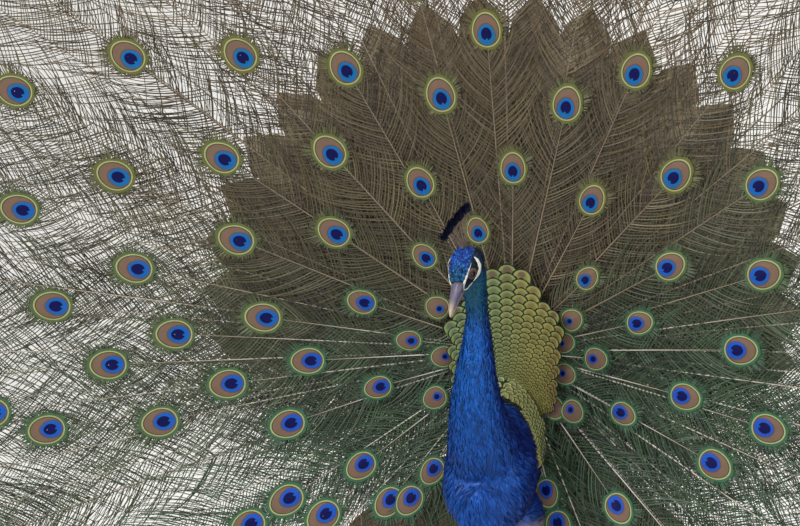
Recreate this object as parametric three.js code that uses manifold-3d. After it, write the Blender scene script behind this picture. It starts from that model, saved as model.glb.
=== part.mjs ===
// A life-size Indian peacock in full display: train raised, wings lowered, standing on both feet.
// Millimetres, +Z up. The bird faces -Y and its left side is +X. The finished group is shifted so
// that its origin lies under the middle of its bounding box, on the floor.
import * as THREE from "three";
import { mergeVertices } from "three/addons/utils/BufferGeometryUtils.js";
import Module from "manifold-3d";

const wasm = await Module();
wasm.setup();

// ---------- driving dimensions ----------
const GAP = 0.35; // clear space between neighbouring pieces
const FAN = { y: 90, z: 470 }; // where the train's shafts meet, behind the back
const TRAIN = {
  radius: 1130, // longest feathers, from the fan's centre to their tips
  innerRadius: 34,
  sectors: 9,
  span: 156, // degrees from straight up to the lowest feathers, each side
  floorRoom: 40, // the lowest tips stay this far above the floor
  rootThickness: 2.6,
  rimThickness: 1.2,
  tips: 6, // feather tips that notch each sector's rim
  notch: 0.018, // depth of a rim notch, as a share of the radius
};
const TAIL = { radius: 430, innerRadius: 50, span: 88, behind: 24, thickness: 4, feathers: 18 };
const HEAD = { at: [-8.7, -117.5, 594.6], yaw: 4.4, pitch: 32.5, roll: -7.2 };
const EYE = { radius: 6, aside: 11.4, forward: 7.5, up: 0.6 };
const CREST = {
  foot: [0, 23, 12.4],
  shafts: 8,
  length: 51,
  from: -33, // degrees from the head's up, towards its front
  to: 36,
  turn: 14, // degrees that the fan is twisted about the head's up
  tip: 3.4,
  shaft: 1.2,
  base: 5,
};
const LEG = { aside: 47, heelBack: 52, heelHeight: 158, footHeight: 15 };
const STANCE = { left: 2, right: 36 }; // how far behind the neck's base each foot stands
const WING = { wrist: [64, 142, 338], length: 268, from: 7, to: 54, thickness: 3.6 };

// ---------- materials ----------
const paint = (color, roughness, metalness = 0) =>
  new THREE.MeshStandardMaterial({ color, roughness, metalness });
const MATERIAL = {
  blue: paint(0x0b3f9a, 0.45, 0.2),
  teal: paint(0x0a4f6e, 0.45, 0.2),
  gold: paint(0x8a9434, 0.45, 0.25),
  train: paint(0x6b6140, 0.6, 0.1),
  tail: paint(0x6a5a48, 0.7),
  wing: paint(0xa89878, 0.7),
  primary: paint(0x9a5a32, 0.7),
  thigh: paint(0xb5a284, 0.8),
  down: paint(0x3c3a38, 0.85),
  crest: paint(0x0a1440, 0.5),
  bill: paint(0x8d8694, 0.4),
  eye: paint(0x1c0f0a, 0.1),
  leg: paint(0x8c8378, 0.6),
  claw: paint(0x3f3833, 0.4),
};

// ---------- small helpers ----------
const radians = THREE.MathUtils.degToRad;
const point = (p) => new THREE.Vector3(...p);
const mirrored = ([x, y, z], side) => [x * side, y, z];

function closed(geometry) {
  const bare = geometry.clone();
  bare.deleteAttribute("normal");
  bare.deleteAttribute("uv");
  return mergeVertices(bare, 1e-4);
}

// Moves every vertex of a closed geometry by a function of its place.
function shaped(geometry, move) {
  const made = closed(geometry);
  const position = made.attributes.position;
  const v = new THREE.Vector3();
  for (let i = 0; i < position.count; i++) {
    v.fromBufferAttribute(position, i);
    position.setXYZ(i, ...move(v.clone()).toArray());
  }
  return made;
}

function solid(geometry) {
  const made = closed(geometry);
  const asSolid = (index) =>
    new wasm.Manifold(
      new wasm.Mesh({
        numProp: 3,
        vertProperties: new Float32Array(made.attributes.position.array),
        triVerts: index,
      }),
    );
  const index = new Uint32Array(made.index.array);
  const first = asSolid(index);
  if (first.volume() > 0) return first;
  for (let i = 0; i < index.length; i += 3) {
    [index[i + 1], index[i + 2]] = [index[i + 2], index[i + 1]];
  }
  return asSolid(index);
}

function geometryOf(body) {
  const mesh = body.getMesh();
  return new THREE.BufferGeometry()
    .setAttribute("position", new THREE.BufferAttribute(new Float32Array(mesh.vertProperties), 3))
    .setIndex(new THREE.BufferAttribute(new Uint32Array(mesh.triVerts), 1));
}

const bird = new THREE.Group();
function add(name, body, material) {
  const biggest = body.decompose().sort((a, b) => b.volume() - a.volume())[0];
  const geometry = geometryOf(biggest);
  geometry.computeVertexNormals();
  const mesh = new THREE.Mesh(geometry, material);
  mesh.name = name;
  bird.add(mesh);
  return biggest;
}

// A rounded body along a smooth line of stations [x, y, z, halfWidth, halfHeight]. Its width lies
// along `side`. `caps` are the shares of the line over which the two ends close; `grow` thickens
// it all round, and `floor` flattens it at a height.
function loft(stations, options = {}) {
  const { around = 18, along = 20, side = [1, 0, 0], caps = [0.1, 0.1], grow = 0, floor } = options;
  const line = new THREE.CatmullRomCurve3(stations.map((s) => point(s.slice(0, 3))));
  const size = new THREE.CatmullRomCurve3(stations.map((s) => new THREE.Vector3(s[3], s[4], 0)));
  const across = point(side).normalize();
  const cap = (q, share) => (q < share ? Math.sqrt(Math.max(0, 1 - (1 - q / share) ** 2)) : 1);
  return shaped(new THREE.SphereGeometry(1, around, along), (v) => {
    const angle = Math.atan2(v.z, v.x);
    const q = Math.acos(THREE.MathUtils.clamp(v.y, -1, 1)) / Math.PI;
    const t = (1 - Math.cos(Math.PI * q)) / 2;
    const centre = line.getPoint(t);
    const ahead = line.getTangent(t);
    const wide = across.clone().addScaledVector(ahead, -across.dot(ahead)).normalize();
    const high = new THREE.Vector3().crossVectors(wide, ahead).normalize();
    const half = size.getPoint(t);
    const close = cap(t, caps[0]) * cap(1 - t, caps[1]);
    const at = centre
      .addScaledVector(wide, Math.cos(angle) * (half.x * close + grow * Math.min(1, close * 4)))
      .addScaledVector(high, Math.sin(angle) * (half.y * close + grow * Math.min(1, close * 4)));
    if (q < 1e-6) at.addScaledVector(ahead, -grow);
    if (q > 1 - 1e-6) at.addScaledVector(ahead, grow);
    if (floor !== undefined) at.z = Math.max(at.z, floor);
    return at;
  });
}

// A thin curved panel: `place(u, v)` gives a point for u and v from 0 to 1, `thick(u, v)` its
// thickness there.
function panel(place, thick, across, along) {
  const step = 1e-3;
  return shaped(new THREE.BoxGeometry(1, 1, 1, across, along, 1), (p) => {
    const u = p.x + 0.5;
    const v = p.y + 0.5;
    const at = place(u, v);
    const du = place(Math.min(1, u + step), v).sub(place(Math.max(0, u - step), v));
    const dv = place(u, Math.min(1, v + step)).sub(place(u, Math.max(0, v - step)));
    const normal = new THREE.Vector3().crossVectors(du, dv).normalize();
    return at.addScaledVector(normal, p.z * thick(u, v));
  });
}

// ---------- the bird's own shapes ----------
const TRUNK_STATIONS = [
  [0, -86, 328, 10, 10],
  [1, -66, 322, 43, 46],
  [1, -40, 327, 53, 61],
  [0, -8, 345, 55, 74],
  [0, 30, 354, 50, 77],
  [0, 72, 366, 46, 76],
  [0, 120, 384, 46, 70],
  [0, 165, 408, 40, 57],
  [0, 200, 436, 30, 38],
  [0, 226, 462, 12, 14],
];
const NECK_STATIONS = [
  [0, -8, 348, 46, 52],
  [-1, -40, 372, 46, 47],
  [-3, -64, 408, 37, 38],
  [-4, -77, 450, 28.6, 28.5],
  [-1, -80, 500, 19.6, 22],
  [-1, -81, 545, 13.4, 17],
  [-2.2, -92, 580, 15.2, 17.5],
  [-0.5, -98, 600, 14.5, 15],
];
const RUMP_STATIONS = [
  [0, 128, 395, 40, 36],
  [0, 124, 440, 41, 31],
  [0, 120, 480, 36, 25],
  [0, 118, 515, 25, 18],
  [0, 118, 538, 10, 9],
];
// In the head's own frame: X to the bird's left, Y backwards, Z up, from between the eyes.
const HEAD_STATIONS = [
  [0, 36, -5, 4, 4],
  [0, 28, -4, 18.3, 15.2],
  [0, 13, -1.2, 21, 18.4],
  [0, -2, -0.4, 18.5, 18],
  [0, -14, -2, 13.6, 14.8],
  [0, -24, -4.5, 9.3, 10.6],
  [0, -31, -6, 6, 7],
];
const BILL_UPPER_STATIONS = [
  [0, -18, -1.5, 7.5, 6],
  [0, -28, -2.4, 7, 6],
  [0, -40, -4, 5.6, 5],
  [0, -52, -6.2, 3.9, 3.7],
  [0, -62, -9.4, 2.3, 2.6],
  [0, -67, -13.2, 0.7, 0.8],
];
const BILL_LOWER_STATIONS = [
  [0, -20, -10.2, 6.6, 3.2],
  [0, -30, -10.6, 6, 3],
  [0, -44, -11.4, 4.4, 2.5],
  [0, -56, -12.4, 2.8, 1.8],
  [0, -61.5, -12.9, 1, 0.8],
];

const headTurn = new THREE.Matrix4().makeRotationFromEuler(
  new THREE.Euler(radians(HEAD.pitch), radians(HEAD.roll), -radians(HEAD.yaw), "ZXY"),
);
const headPlace = new THREE.Matrix4().setPosition(...HEAD.at).multiply(headTurn);
const onHead = (geometry) => geometry.clone().applyMatrix4(headPlace);

// Keeps the side of a body that `normal` points to, from a point on the cutting plane.
function trimmed(body, normal, at, room = GAP / 2) {
  const n = point(normal).normalize();
  return body.trimByPlane(n.toArray(), n.dot(point(at)) + room);
}

// ---------- train surface ----------
const smooth = (x, low, high) => THREE.MathUtils.smoothstep(x, low, high);

// Radius of the fan's outline at an angle from straight up, in degrees. The lower feathers are
// shorter and clear the floor.
function trainEdge(angle) {
  const a = Math.abs(angle);
  const down = -Math.cos(radians(a));
  const room = down > 0.05 ? (FAN.z - TRAIN.floorRoom) / down : Infinity;
  return Math.min(TRAIN.radius * (1 - 0.42 * smooth(a, 92, 160)), room * (1 - 0.2 * smooth(a, 130, 160)));
}

// The fan is a shallow dish: its top leans forward a little and its sides curve forward more.
function trainPoint(radius, angle, back = 0) {
  const a = Math.abs(angle);
  const sideways = Math.sin(radians(Math.min(a, 90))) ** 2;
  const slope = 0.1 + 0.14 * sideways;
  const curve = (0.06 + 0.04 * sideways) / 1000;
  return new THREE.Vector3(
    radius * Math.sin(radians(angle)),
    FAN.y - slope * radius - curve * radius * radius + back,
    FAN.z + radius * Math.cos(radians(angle)),
  );
}

// Feather tips every `step` along a rim, with notches of a given depth between them.
function notched(along, step, depth) {
  return 1 - depth * Math.abs(Math.sin((Math.PI * along) / step));
}

function trainSector(index) {
  const wide = (2 * TRAIN.span) / TRAIN.sectors;
  const from = -TRAIN.span + index * wide;
  const cut = 0.05; // degrees left open on each side of a sector
  return panel(
    (u, v) => {
      const angle = from + cut + u * (wide - 2 * cut);
      const rim = trainEdge(angle) * notched(u, 1 / TRAIN.tips, TRAIN.notch);
      return trainPoint(THREE.MathUtils.lerp(TRAIN.innerRadius, rim, v), angle);
    },
    (u, v) => THREE.MathUtils.lerp(TRAIN.rootThickness, TRAIN.rimThickness, v),
    12,
    3,
  );
}

function tailHalf(side) {
  const gap = 0.4;
  return panel(
    (u, v) => {
      const angle = side * (gap + u * (TAIL.span - gap));
      const rim = TAIL.radius * (1 - 0.18 * (Math.abs(angle) / TAIL.span) ** 2);
      const step = (2 * TAIL.span) / TAIL.feathers;
      const reach = rim * notched(angle, step, 0.03);
      return trainPoint(THREE.MathUtils.lerp(TAIL.innerRadius, reach, v), angle, TAIL.behind);
    },
    () => TAIL.thickness,
    18,
    2,
  );
}

// The upright golden back, in front of the fan's centre.
const SHIELD = { bottom: 392, top: 577, halfWidth: 67, front: 66, thickness: 7 };
function backShield() {
  return panel(
    (u, v) => {
      const x = (u - 0.5) * 2;
      const half = SHIELD.halfWidth * (0.9 + 0.1 * Math.sin(Math.PI * v)) * (1 - 0.5 * v ** 4);
      const crown = SHIELD.top - 34 * Math.abs(x) ** 2.4;
      const z = THREE.MathUtils.lerp(SHIELD.bottom, crown, v);
      return new THREE.Vector3(x * half, SHIELD.front + 4 * v - 10 * x * x, z);
    },
    () => SHIELD.thickness,
    8,
    6,
  );
}

// ---------- wings ----------
function wingArm(side) {
  return loft(
    [
      [50 * side, 86, 402, 5, 16],
      [57 * side, 106, 392, 8, 42],
      [61 * side, 142, 372, 8.5, 50],
      [57 * side, 182, 362, 8, 46],
      [50 * side, 222, 362, 4, 26],
    ],
    { around: 10, along: 10, side: [1, 0.1 * side, 0.15 * side], caps: [0.15, 0.2] },
  );
}

function primaries(side) {
  const feathers = 9;
  return panel(
    (u, v) => {
      const angle = THREE.MathUtils.lerp(WING.from, WING.to, u);
      const step = (WING.to - WING.from) / feathers;
      const reach = WING.length * (1 - 0.2 * u * u) * notched(angle - WING.from, step, 0.05);
      const r = THREE.MathUtils.lerp(24, reach, v);
      const [x, y, z] = WING.wrist;
      return new THREE.Vector3(
        side * (x + r * Math.sin(radians(angle))),
        y + 22 + 0.12 * r - 12 * u,
        z - r * Math.cos(radians(angle)),
      );
    },
    () => WING.thickness,
    18,
    2,
  );
}

// ---------- legs and feet ----------
function legLine(side) {
  const back = side > 0 ? STANCE.left : STANCE.right;
  const x = LEG.aside * side;
  return {
    foot: [x * 1.08, back, LEG.footHeight],
    heel: [x * 1.04, back + LEG.heelBack, LEG.heelHeight],
    hip: [x * 0.6, back * 0.5 + 26, 318],
  };
}

function thigh(side) {
  const { heel, hip } = legLine(side);
  const between = (t, low) => [
    THREE.MathUtils.lerp(hip[0], heel[0], t),
    THREE.MathUtils.lerp(hip[1], heel[1], t) + low,
    THREE.MathUtils.lerp(hip[2], heel[2], t),
  ];
  return loft(
    [
      [...between(0, 0), 23, 40],
      [...between(0.35, 2), 22.5, 35],
      [...between(0.62, 2), 18, 24],
      [...between(0.85, 0), 10.5, 13],
      [...between(0.98, 0), 7.5, 8.5],
    ],
    { around: 12, along: 10, caps: [0.2, 0.04] },
  );
}

function shank(side) {
  const { heel, foot } = legLine(side);
  return loft(
    [
      [heel[0], heel[1] + 1, heel[2] + 10, 6.5, 7],
      [heel[0], heel[1], heel[2] - 2, 7, 8],
      [
        (heel[0] + foot[0]) / 2,
        (heel[1] + foot[1]) / 2,
        (heel[2] + foot[2]) / 2,
        5,
        5.6,
      ],
      [foot[0], foot[1] + 5, foot[2] + 9, 5.4, 6],
      [foot[0], foot[1], foot[2] - 4, 7, 7],
    ],
    { around: 10, along: 10, caps: [0.05, 0.06], floor: 1 },
  );
}

// Each toe: name, heading in degrees from straight ahead towards the outside, length, thickness.
const TOES = [
  ["inner", -34, 46, 5],
  ["middle", -2, 64, 5.6],
  ["outer", 32, 50, 5],
  ["hind", 166, 26, 4],
];
const CLAW = { length: 13, start: 1.2 };

function toeLine(side, heading, length) {
  const { foot } = legLine(side);
  const turn = radians(heading);
  const ahead = [Math.sin(turn) * side, -Math.cos(turn)];
  const from = heading > 90 ? 7 : 8.5;
  const at = (distance, height, wide, high) => [
    foot[0] + ahead[0] * (from + distance),
    foot[1] + ahead[1] * (from + distance),
    height,
    wide,
    high,
  ];
  return { at, length, side: [-ahead[1], ahead[0], 0] };
}

function toe(side, [, heading, length, thick], grow = 0) {
  const { at, side: across } = toeLine(side, heading, length);
  const rise = heading > 90 ? 7 : 9;
  return loft(
    [
      at(0, rise, thick * 0.9, thick * 0.9),
      at(length * 0.25, thick * 0.86, thick, thick),
      at(length * 0.5, thick * 0.66, thick * 0.84, thick * 0.84),
      at(length * 0.75, thick * 0.66, thick * 0.84, thick * 0.82),
      at(length, thick * 0.52, thick * 0.62, thick * 0.62),
    ],
    { around: 6, along: 6, side: across, caps: [0.06, 0.1], floor: -grow, grow },
  );
}

// The toes and the pad they spring from, flat underneath.
function footBody(side, grow) {
  const [x, y] = legLine(side).foot;
  const pad = shaped(new THREE.SphereGeometry(1, 8, 5), (v) => {
    const height = Math.max(-grow, 5 + v.y * (9 + grow));
    return new THREE.Vector3(x + v.x * (10 + grow), y + v.z * (11 + grow), height);
  });
  const toes = TOES.map((spec) => solid(toe(side, spec, grow)));
  return toes.reduce((all, one) => all.add(one), solid(pad));
}

function claw(side, [, heading, length, thick]) {
  const { at, side: across } = toeLine(side, heading, length);
  const reach = length + CLAW.start;
  return loft(
    [
      at(reach, thick * 0.62, thick * 0.5, thick * 0.5),
      at(reach + CLAW.length * 0.35, thick * 0.66, thick * 0.42, thick * 0.44),
      at(reach + CLAW.length * 0.75, thick * 0.46, thick * 0.26, thick * 0.28),
      at(reach + CLAW.length, 1, 0.6, 0.6),
    ],
    { around: 6, along: 5, side: across, caps: [0.06, 0.2], floor: 0.2 },
  );
}

function spur(side) {
  const { heel, foot } = legLine(side);
  const share = 0.36;
  const root = [0, 1, 2].map((i) => THREE.MathUtils.lerp(foot[i], heel[i], share));
  const inward = -side;
  return loft(
    [
      [root[0] + inward * 3, root[1] + 6.6, root[2], 3.4, 3.4],
      [root[0] + inward * 5, root[1] + 13, root[2] + 1, 2.6, 2.6],
      [root[0] + inward * 7, root[1] + 20, root[2] + 4, 1.5, 1.5],
      [root[0] + inward * 8, root[1] + 25, root[2] + 8, 0.6, 0.6],
    ],
    { around: 6, along: 5, caps: [0.08, 0.2] },
  );
}

// ---------- crest ----------
function crest() {
  const foot = point(CREST.foot);
  const twist = radians(CREST.turn);
  const base = new THREE.SphereGeometry(CREST.base, 8, 4).scale(0.35, 1, 0.5);
  let body = solid(onHead(base.translate(foot.x, foot.y, foot.z + 1.5)));
  for (let i = 0; i < CREST.shafts; i++) {
    const share = i / (CREST.shafts - 1);
    const turn = radians(THREE.MathUtils.lerp(CREST.from, CREST.to, share));
    const length = CREST.length * (1 - 0.08 * Math.sin(Math.PI * share));
    const lean = (i % 2 ? 1 : -1) * 1.2;
    const along = Math.sin(turn);
    const heading = new THREE.Vector3(
      along * Math.sin(twist) + lean / length,
      along * Math.cos(twist),
      Math.cos(turn),
    ).normalize();
    const root = foot.clone().add(new THREE.Vector3(0, (share - 0.5) * 5, 1));
    const tip = root.clone().addScaledVector(heading, length - CREST.tip);
    const middle = root.clone().lerp(tip, 0.5);
    const turned = new THREE.Quaternion().setFromUnitVectors(new THREE.Vector3(0, 1, 0), heading);
    const place = (geometry, at) =>
      onHead(geometry.applyQuaternion(turned).translate(at.x, at.y, at.z));
    const rod = new THREE.CylinderGeometry(CREST.shaft / 2, CREST.shaft / 2, length - CREST.tip, 3);
    const blade = new THREE.SphereGeometry(CREST.tip, 6, 3).scale(0.3, 1.3, 0.8);
    body = body.add(solid(place(rod, middle))).add(solid(place(blade, tip)));
  }
  return body;
}

// ---------- assembly ----------
const trunkShape = (grow) => solid(loft(TRUNK_STATIONS, { around: 18, along: 16, caps: [0.1, 0.08], grow }));
const neckShape = (grow) => solid(loft(NECK_STATIONS, { around: 14, along: 16, caps: [0.06, 0.06], grow }));
const rumpShape = (grow) => solid(loft(RUMP_STATIONS, { around: 12, along: 9, caps: [0.1, 0.2], grow }));
const headShape = (grow) =>
  solid(onHead(loft(HEAD_STATIONS, { around: 14, along: 11, caps: [0.14, 0.14], grow })));
const upperBillShape = (grow) =>
  solid(onHead(loft(BILL_UPPER_STATIONS, { around: 10, along: 9, caps: [0.05, 0.12], grow })));

const flesh = trunkShape(0).add(neckShape(0)).add(headShape(0));
const neckCut = { at: [0, -42, 376], normal: [0, -0.62, 0.78] };
const midNeckCut = { at: [0, -80, 488], normal: [0, -0.05, 1] };
const headCut = { at: [-4, -96, 588], normal: [-0.1, -0.5, 0.85] };
const flipped = (n) => n.map((c) => -c);

// Between two cutting planes of the flesh.
function slice(low, high) {
  let body = flesh;
  if (low) body = trimmed(body, low.normal, low.at);
  if (high) body = trimmed(body, flipped(high.normal), high.at);
  return body;
}

const eyeAt = (side) => [EYE.aside * side, -EYE.forward, EYE.up];
const eyeBall = (side, grow) =>
  solid(
    onHead(new THREE.SphereGeometry(EYE.radius + grow, 10, 7).translate(...eyeAt(side))),
  );

function addHeadAndNeck() {
  let head = slice(headCut, null).subtract(upperBillShape(GAP));
  const lowerBill = (grow) =>
    solid(onHead(loft(BILL_LOWER_STATIONS, { around: 8, along: 8, caps: [0.05, 0.12], grow })));
  head = head.subtract(lowerBill(GAP));
  const crestBody = crest();
  for (const [name, side] of [["left", 1], ["right", -1]]) {
    head = head.subtract(eyeBall(side, GAP));
    add("eye_" + name, eyeBall(side, 0), MATERIAL.eye);
  }
  const headBody = add("head", head, MATERIAL.blue);
  add("bill_upper", upperBillShape(0), MATERIAL.bill);
  add("bill_lower", lowerBill(0).subtract(upperBillShape(GAP)), MATERIAL.bill);
  add("crest", crestBody.subtract(headShape(GAP)), MATERIAL.crest);
  add("neck_upper", slice(midNeckCut, headCut).subtract(headBody), MATERIAL.teal);
  add("neck_lower", slice(neckCut, midNeckCut), MATERIAL.blue);
}

function addBody() {
  const trunk = add("trunk", slice(null, neckCut), MATERIAL.blue);
  // Behind the train's root: the rump that carries the raised tail.
  const rumpFace = { at: [0, FAN.y + 4.2, 0], normal: [0, 1, 0] };
  const rumpSolid = (grow) => trimmed(rumpShape(grow), rumpFace.normal, rumpFace.at, -grow);
  add("rump", rumpSolid(0).subtract(trunkShape(GAP)), MATERIAL.down);
  const inTheWay = trunkShape(GAP).add(rumpSolid(GAP));
  const shield = add("back_shield", solid(backShield()).subtract(inTheWay), MATERIAL.gold);
  return { trunk, inTheWay, shield };
}

function addTrainAndTail({ inTheWay }) {
  for (let i = 0; i < TRAIN.sectors; i++) {
    const sector = solid(trainSector(i)).subtract(inTheWay);
    add("train_" + String(i + 1).padStart(2, "0"), sector, MATERIAL.train);
  }
  add("tail_left", solid(tailHalf(1)).subtract(inTheWay), MATERIAL.tail);
  add("tail_right", solid(tailHalf(-1)).subtract(inTheWay), MATERIAL.tail);
}

function addLimbs({ inTheWay }) {
  for (const [name, side] of [["left", 1], ["right", -1]]) {
    add("wing_" + name, solid(wingArm(side)).subtract(inTheWay), MATERIAL.wing);
    add("primaries_" + name, solid(primaries(side)).subtract(inTheWay), MATERIAL.primary);
    const heelCut = legLine(side).heel.map((c, i) => c + [0, -2, 14][i]);
    const drumstick = trimmed(solid(thigh(side)), [0, 0, 1], heelCut);
    add("thigh_" + name, drumstick.subtract(inTheWay), MATERIAL.thigh);
    const bone = trimmed(solid(shank(side)), [0, 0, -1], heelCut);
    const foot = add("foot_" + name, footBody(side, 0), MATERIAL.leg);
    add("shank_" + name, bone.subtract(footBody(side, GAP)), MATERIAL.leg);
    add("spur_" + name, solid(spur(side)).subtract(solid(shank(side))), MATERIAL.claw);
    for (const spec of TOES) {
      const clawName = ["claw", spec[0], name].join("_");
      add(clawName, solid(claw(side, spec)).subtract(foot), MATERIAL.claw);
    }
  }
}

addHeadAndNeck();
const body = addBody();
addTrainAndTail(body);
addLimbs(body);

// The origin: on the floor, under the middle of the bounding box.
const box = new THREE.Box3().setFromObject(bird);
const middle = box.getCenter(new THREE.Vector3());
bird.position.set(-middle.x, -middle.y, -box.min.z);

export default bird;
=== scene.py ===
"""A life-size Indian peacock in full display, standing on a plain floor.

The solids of the frame give every place and size. Skin, bill, eyes, legs and feathers are built
over them, in metres, with the bird facing -Y and its left side towards +X.
"""

import math

import bmesh
import bpy
import numpy as np
from mathutils import Euler, Matrix, Vector
from mathutils.bvhtree import BVHTree


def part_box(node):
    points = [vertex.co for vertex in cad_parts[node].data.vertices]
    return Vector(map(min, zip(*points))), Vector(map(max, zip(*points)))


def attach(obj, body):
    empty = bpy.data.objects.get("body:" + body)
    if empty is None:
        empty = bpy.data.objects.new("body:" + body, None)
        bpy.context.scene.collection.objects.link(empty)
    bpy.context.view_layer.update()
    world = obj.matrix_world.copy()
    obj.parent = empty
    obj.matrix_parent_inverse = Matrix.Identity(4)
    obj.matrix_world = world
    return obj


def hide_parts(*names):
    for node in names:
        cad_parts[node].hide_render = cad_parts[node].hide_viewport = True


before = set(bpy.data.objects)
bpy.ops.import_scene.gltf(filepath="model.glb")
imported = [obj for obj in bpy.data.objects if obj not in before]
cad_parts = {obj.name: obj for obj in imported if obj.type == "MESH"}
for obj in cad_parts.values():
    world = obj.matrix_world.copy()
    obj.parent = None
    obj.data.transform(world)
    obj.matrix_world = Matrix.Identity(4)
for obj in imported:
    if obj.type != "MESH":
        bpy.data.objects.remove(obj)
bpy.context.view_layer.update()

bl_info = {
    "name": "Displaying Peacock",
    "version": (1, 0, 0),
    "blender": (4, 5, 0),
    "location": "View3D > Sidebar > Peacock",
    "description": "Builds a peacock in full display, feather by feather",
    "category": "Add Mesh",
}

MM = 0.001
PHOTO = (800, 526)
RNG = np.random.default_rng


# ---------- places taken from the frame ----------
def middle(node):
    low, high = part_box(node)
    return (low + high) / 2


HEAD_TURN = Euler([math.radians(a) for a in (32.5, -7.2, -4.4)], "YXZ").to_matrix()
HEAD_IN_BIRD = Vector((-8.7, -117.5, 594.6)) * MM
EYE_MIDDLE = (middle("eye_left") + middle("eye_right")) / 2
HEAD = EYE_MIDDLE - HEAD_TURN @ (Vector((0, -7.5, 0.6)) * MM)
BIRD = HEAD - HEAD_IN_BIRD  # the origin of the body's own measures
FAN = BIRD + Vector((0, 90, 470)) * MM
HEAD_TO_WORLD = Matrix.Translation(HEAD) @ HEAD_TURN.to_4x4()
WORLD_TO_HEAD = HEAD_TO_WORLD.inverted()


def body_point(x, y, z):
    return BIRD + Vector((x, y, z)) * MM


def head_point(x, y, z):
    return HEAD + HEAD_TURN @ (Vector((x, y, z)) * MM)


def srgb(code, alpha=1.0):
    """A linear colour from a web colour code."""
    parts = [int(code[i : i + 2], 16) / 255 for i in (0, 2, 4)]
    linear = [p / 12.92 if p <= 0.04045 else ((p + 0.055) / 1.055) ** 2.4 for p in parts]
    return (*linear, alpha)


def smooth(x, low, high):
    t = np.clip((x - low) / (high - low), 0, 1)
    return t * t * (3 - 2 * t)


def mix(a, b, t):
    t = np.asarray(t)[..., None]
    return np.asarray(a)[..., :3] * (1 - t) + np.asarray(b)[..., :3] * t


# ---------- settings ----------
def length(name, description, default):
    return bpy.props.FloatProperty(
        name=name, description=description, default=default, unit="LENGTH", precision=5
    )


def degrees(name, description, default):
    return bpy.props.FloatProperty(
        name=name, description=description, default=math.radians(default), subtype="ANGLE"
    )


def colour(name, description, code):
    return bpy.props.FloatVectorProperty(
        name=name, description=description, default=srgb(code), size=4, subtype="COLOR"
    )


class PeacockBody(bpy.types.PropertyGroup):
    voxel: length("Skin detail", "Edge of the skin's smallest faces", 0.002)
    coat: length("Coat depth", "How far the skin lies inside the feathers", 0.0018)
    crown: colour("Crown", "Small curled crown feathers", "1040ac")
    teal: colour("Teal", "Throat and forehead", "06484e")
    # Azure and navy are painted light and shade: azure is laid where the neck faces the front, and navy on
    # its sides that turn away.
    azure: colour("Azure", "Bright front of the neck", "06519f")
    cobalt: colour("Cobalt", "Neck and breast", "053888")
    navy: colour("Navy", "Shaded sides of the neck", "081a66")
    lores: colour("Lores", "Dark feathers round the eye", "0a1220")
    buff: colour("Buff", "Thigh feathers", "a08c6c")
    down: colour("Down", "Fluff under the tail", "4a4640")
    skin: colour("Face skin", "Bare white skin by the eye", "e6e2d2")


class PeacockTrain(bpy.types.PropertyGroup):
    barb_step: length("Barb spacing", "Distance between barbs along a shaft", 0.0043)
    barb_length: length("Barb length", "Longest loose barb", 0.108)
    barb_width: length("Barb width", "Width of a barb at its root", 0.0012)
    eye_small: length("Small eye", "Length of the innermost eyespots", 0.025)
    eye_large: length("Large eye", "Length of the outer eyespots", 0.041)
    layer: length("Layer", "Depth between one row of feathers and the next", 0.0016)
    # Bronze and olive are laid on the fan by the feathers' greenness; the change from one to the other is
    # partly painted iridescent reflection.
    bronze: colour("Bronze", "Barbs high on the fan", "52422d")
    olive: colour("Olive", "Barbs low on the fan", "2c4029")
    shaft: colour("Shaft", "Feather shafts", "dcd4c6")


class PeacockStage(bpy.types.PropertyGroup):
    azimuth: degrees("Azimuth", "Camera's turn to the bird's left", 15)
    elevation: degrees("Elevation", "Camera's height angle", 8)
    distance: length("Distance", "Camera to the fan", 4.5)
    scale: length("Pixel size", "Width of one pixel at the fan", 0.001195)
    floor: colour("Floor", "Plain floor and backdrop", "d8d6d0")


# ---------- meshes ----------
def mesh_from(bm, name):
    """Turns a finished bmesh into a mesh and frees it."""
    mesh = bpy.data.meshes.new(name)
    bm.to_mesh(mesh)
    bm.free()
    return mesh


def finish_piece(name, mesh, material, *, replaces=(), slot=None, shade_smooth=True):
    """Puts a finished mesh in the scene as a piece that rides on the bird."""
    piece = bpy.data.objects.new(name, mesh)
    bpy.context.scene.collection.objects.link(piece)
    mesh.materials.append(material)
    mesh.shade_smooth() if shade_smooth else mesh.shade_flat()
    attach(piece, "root")
    if replaces:
        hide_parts(*replaces)
    return piece


def piece_from(bm, name, material, **options):
    mesh = mesh_from(bm, name)
    return finish_piece(name, mesh, material, **options)


def add_attribute(mesh, name, values):
    """Stores one value or one colour for each vertex."""
    values = np.asarray(values, dtype=np.float32)
    if values.ndim == 1:
        mesh.attributes.new(name, "FLOAT", "POINT").data.foreach_set("value", values)
        return
    if values.shape[1] == 3:
        values = np.column_stack([values, np.ones(len(values), np.float32)])
    mesh.attributes.new(name, "FLOAT_COLOR", "POINT").data.foreach_set("color", values.ravel())


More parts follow.
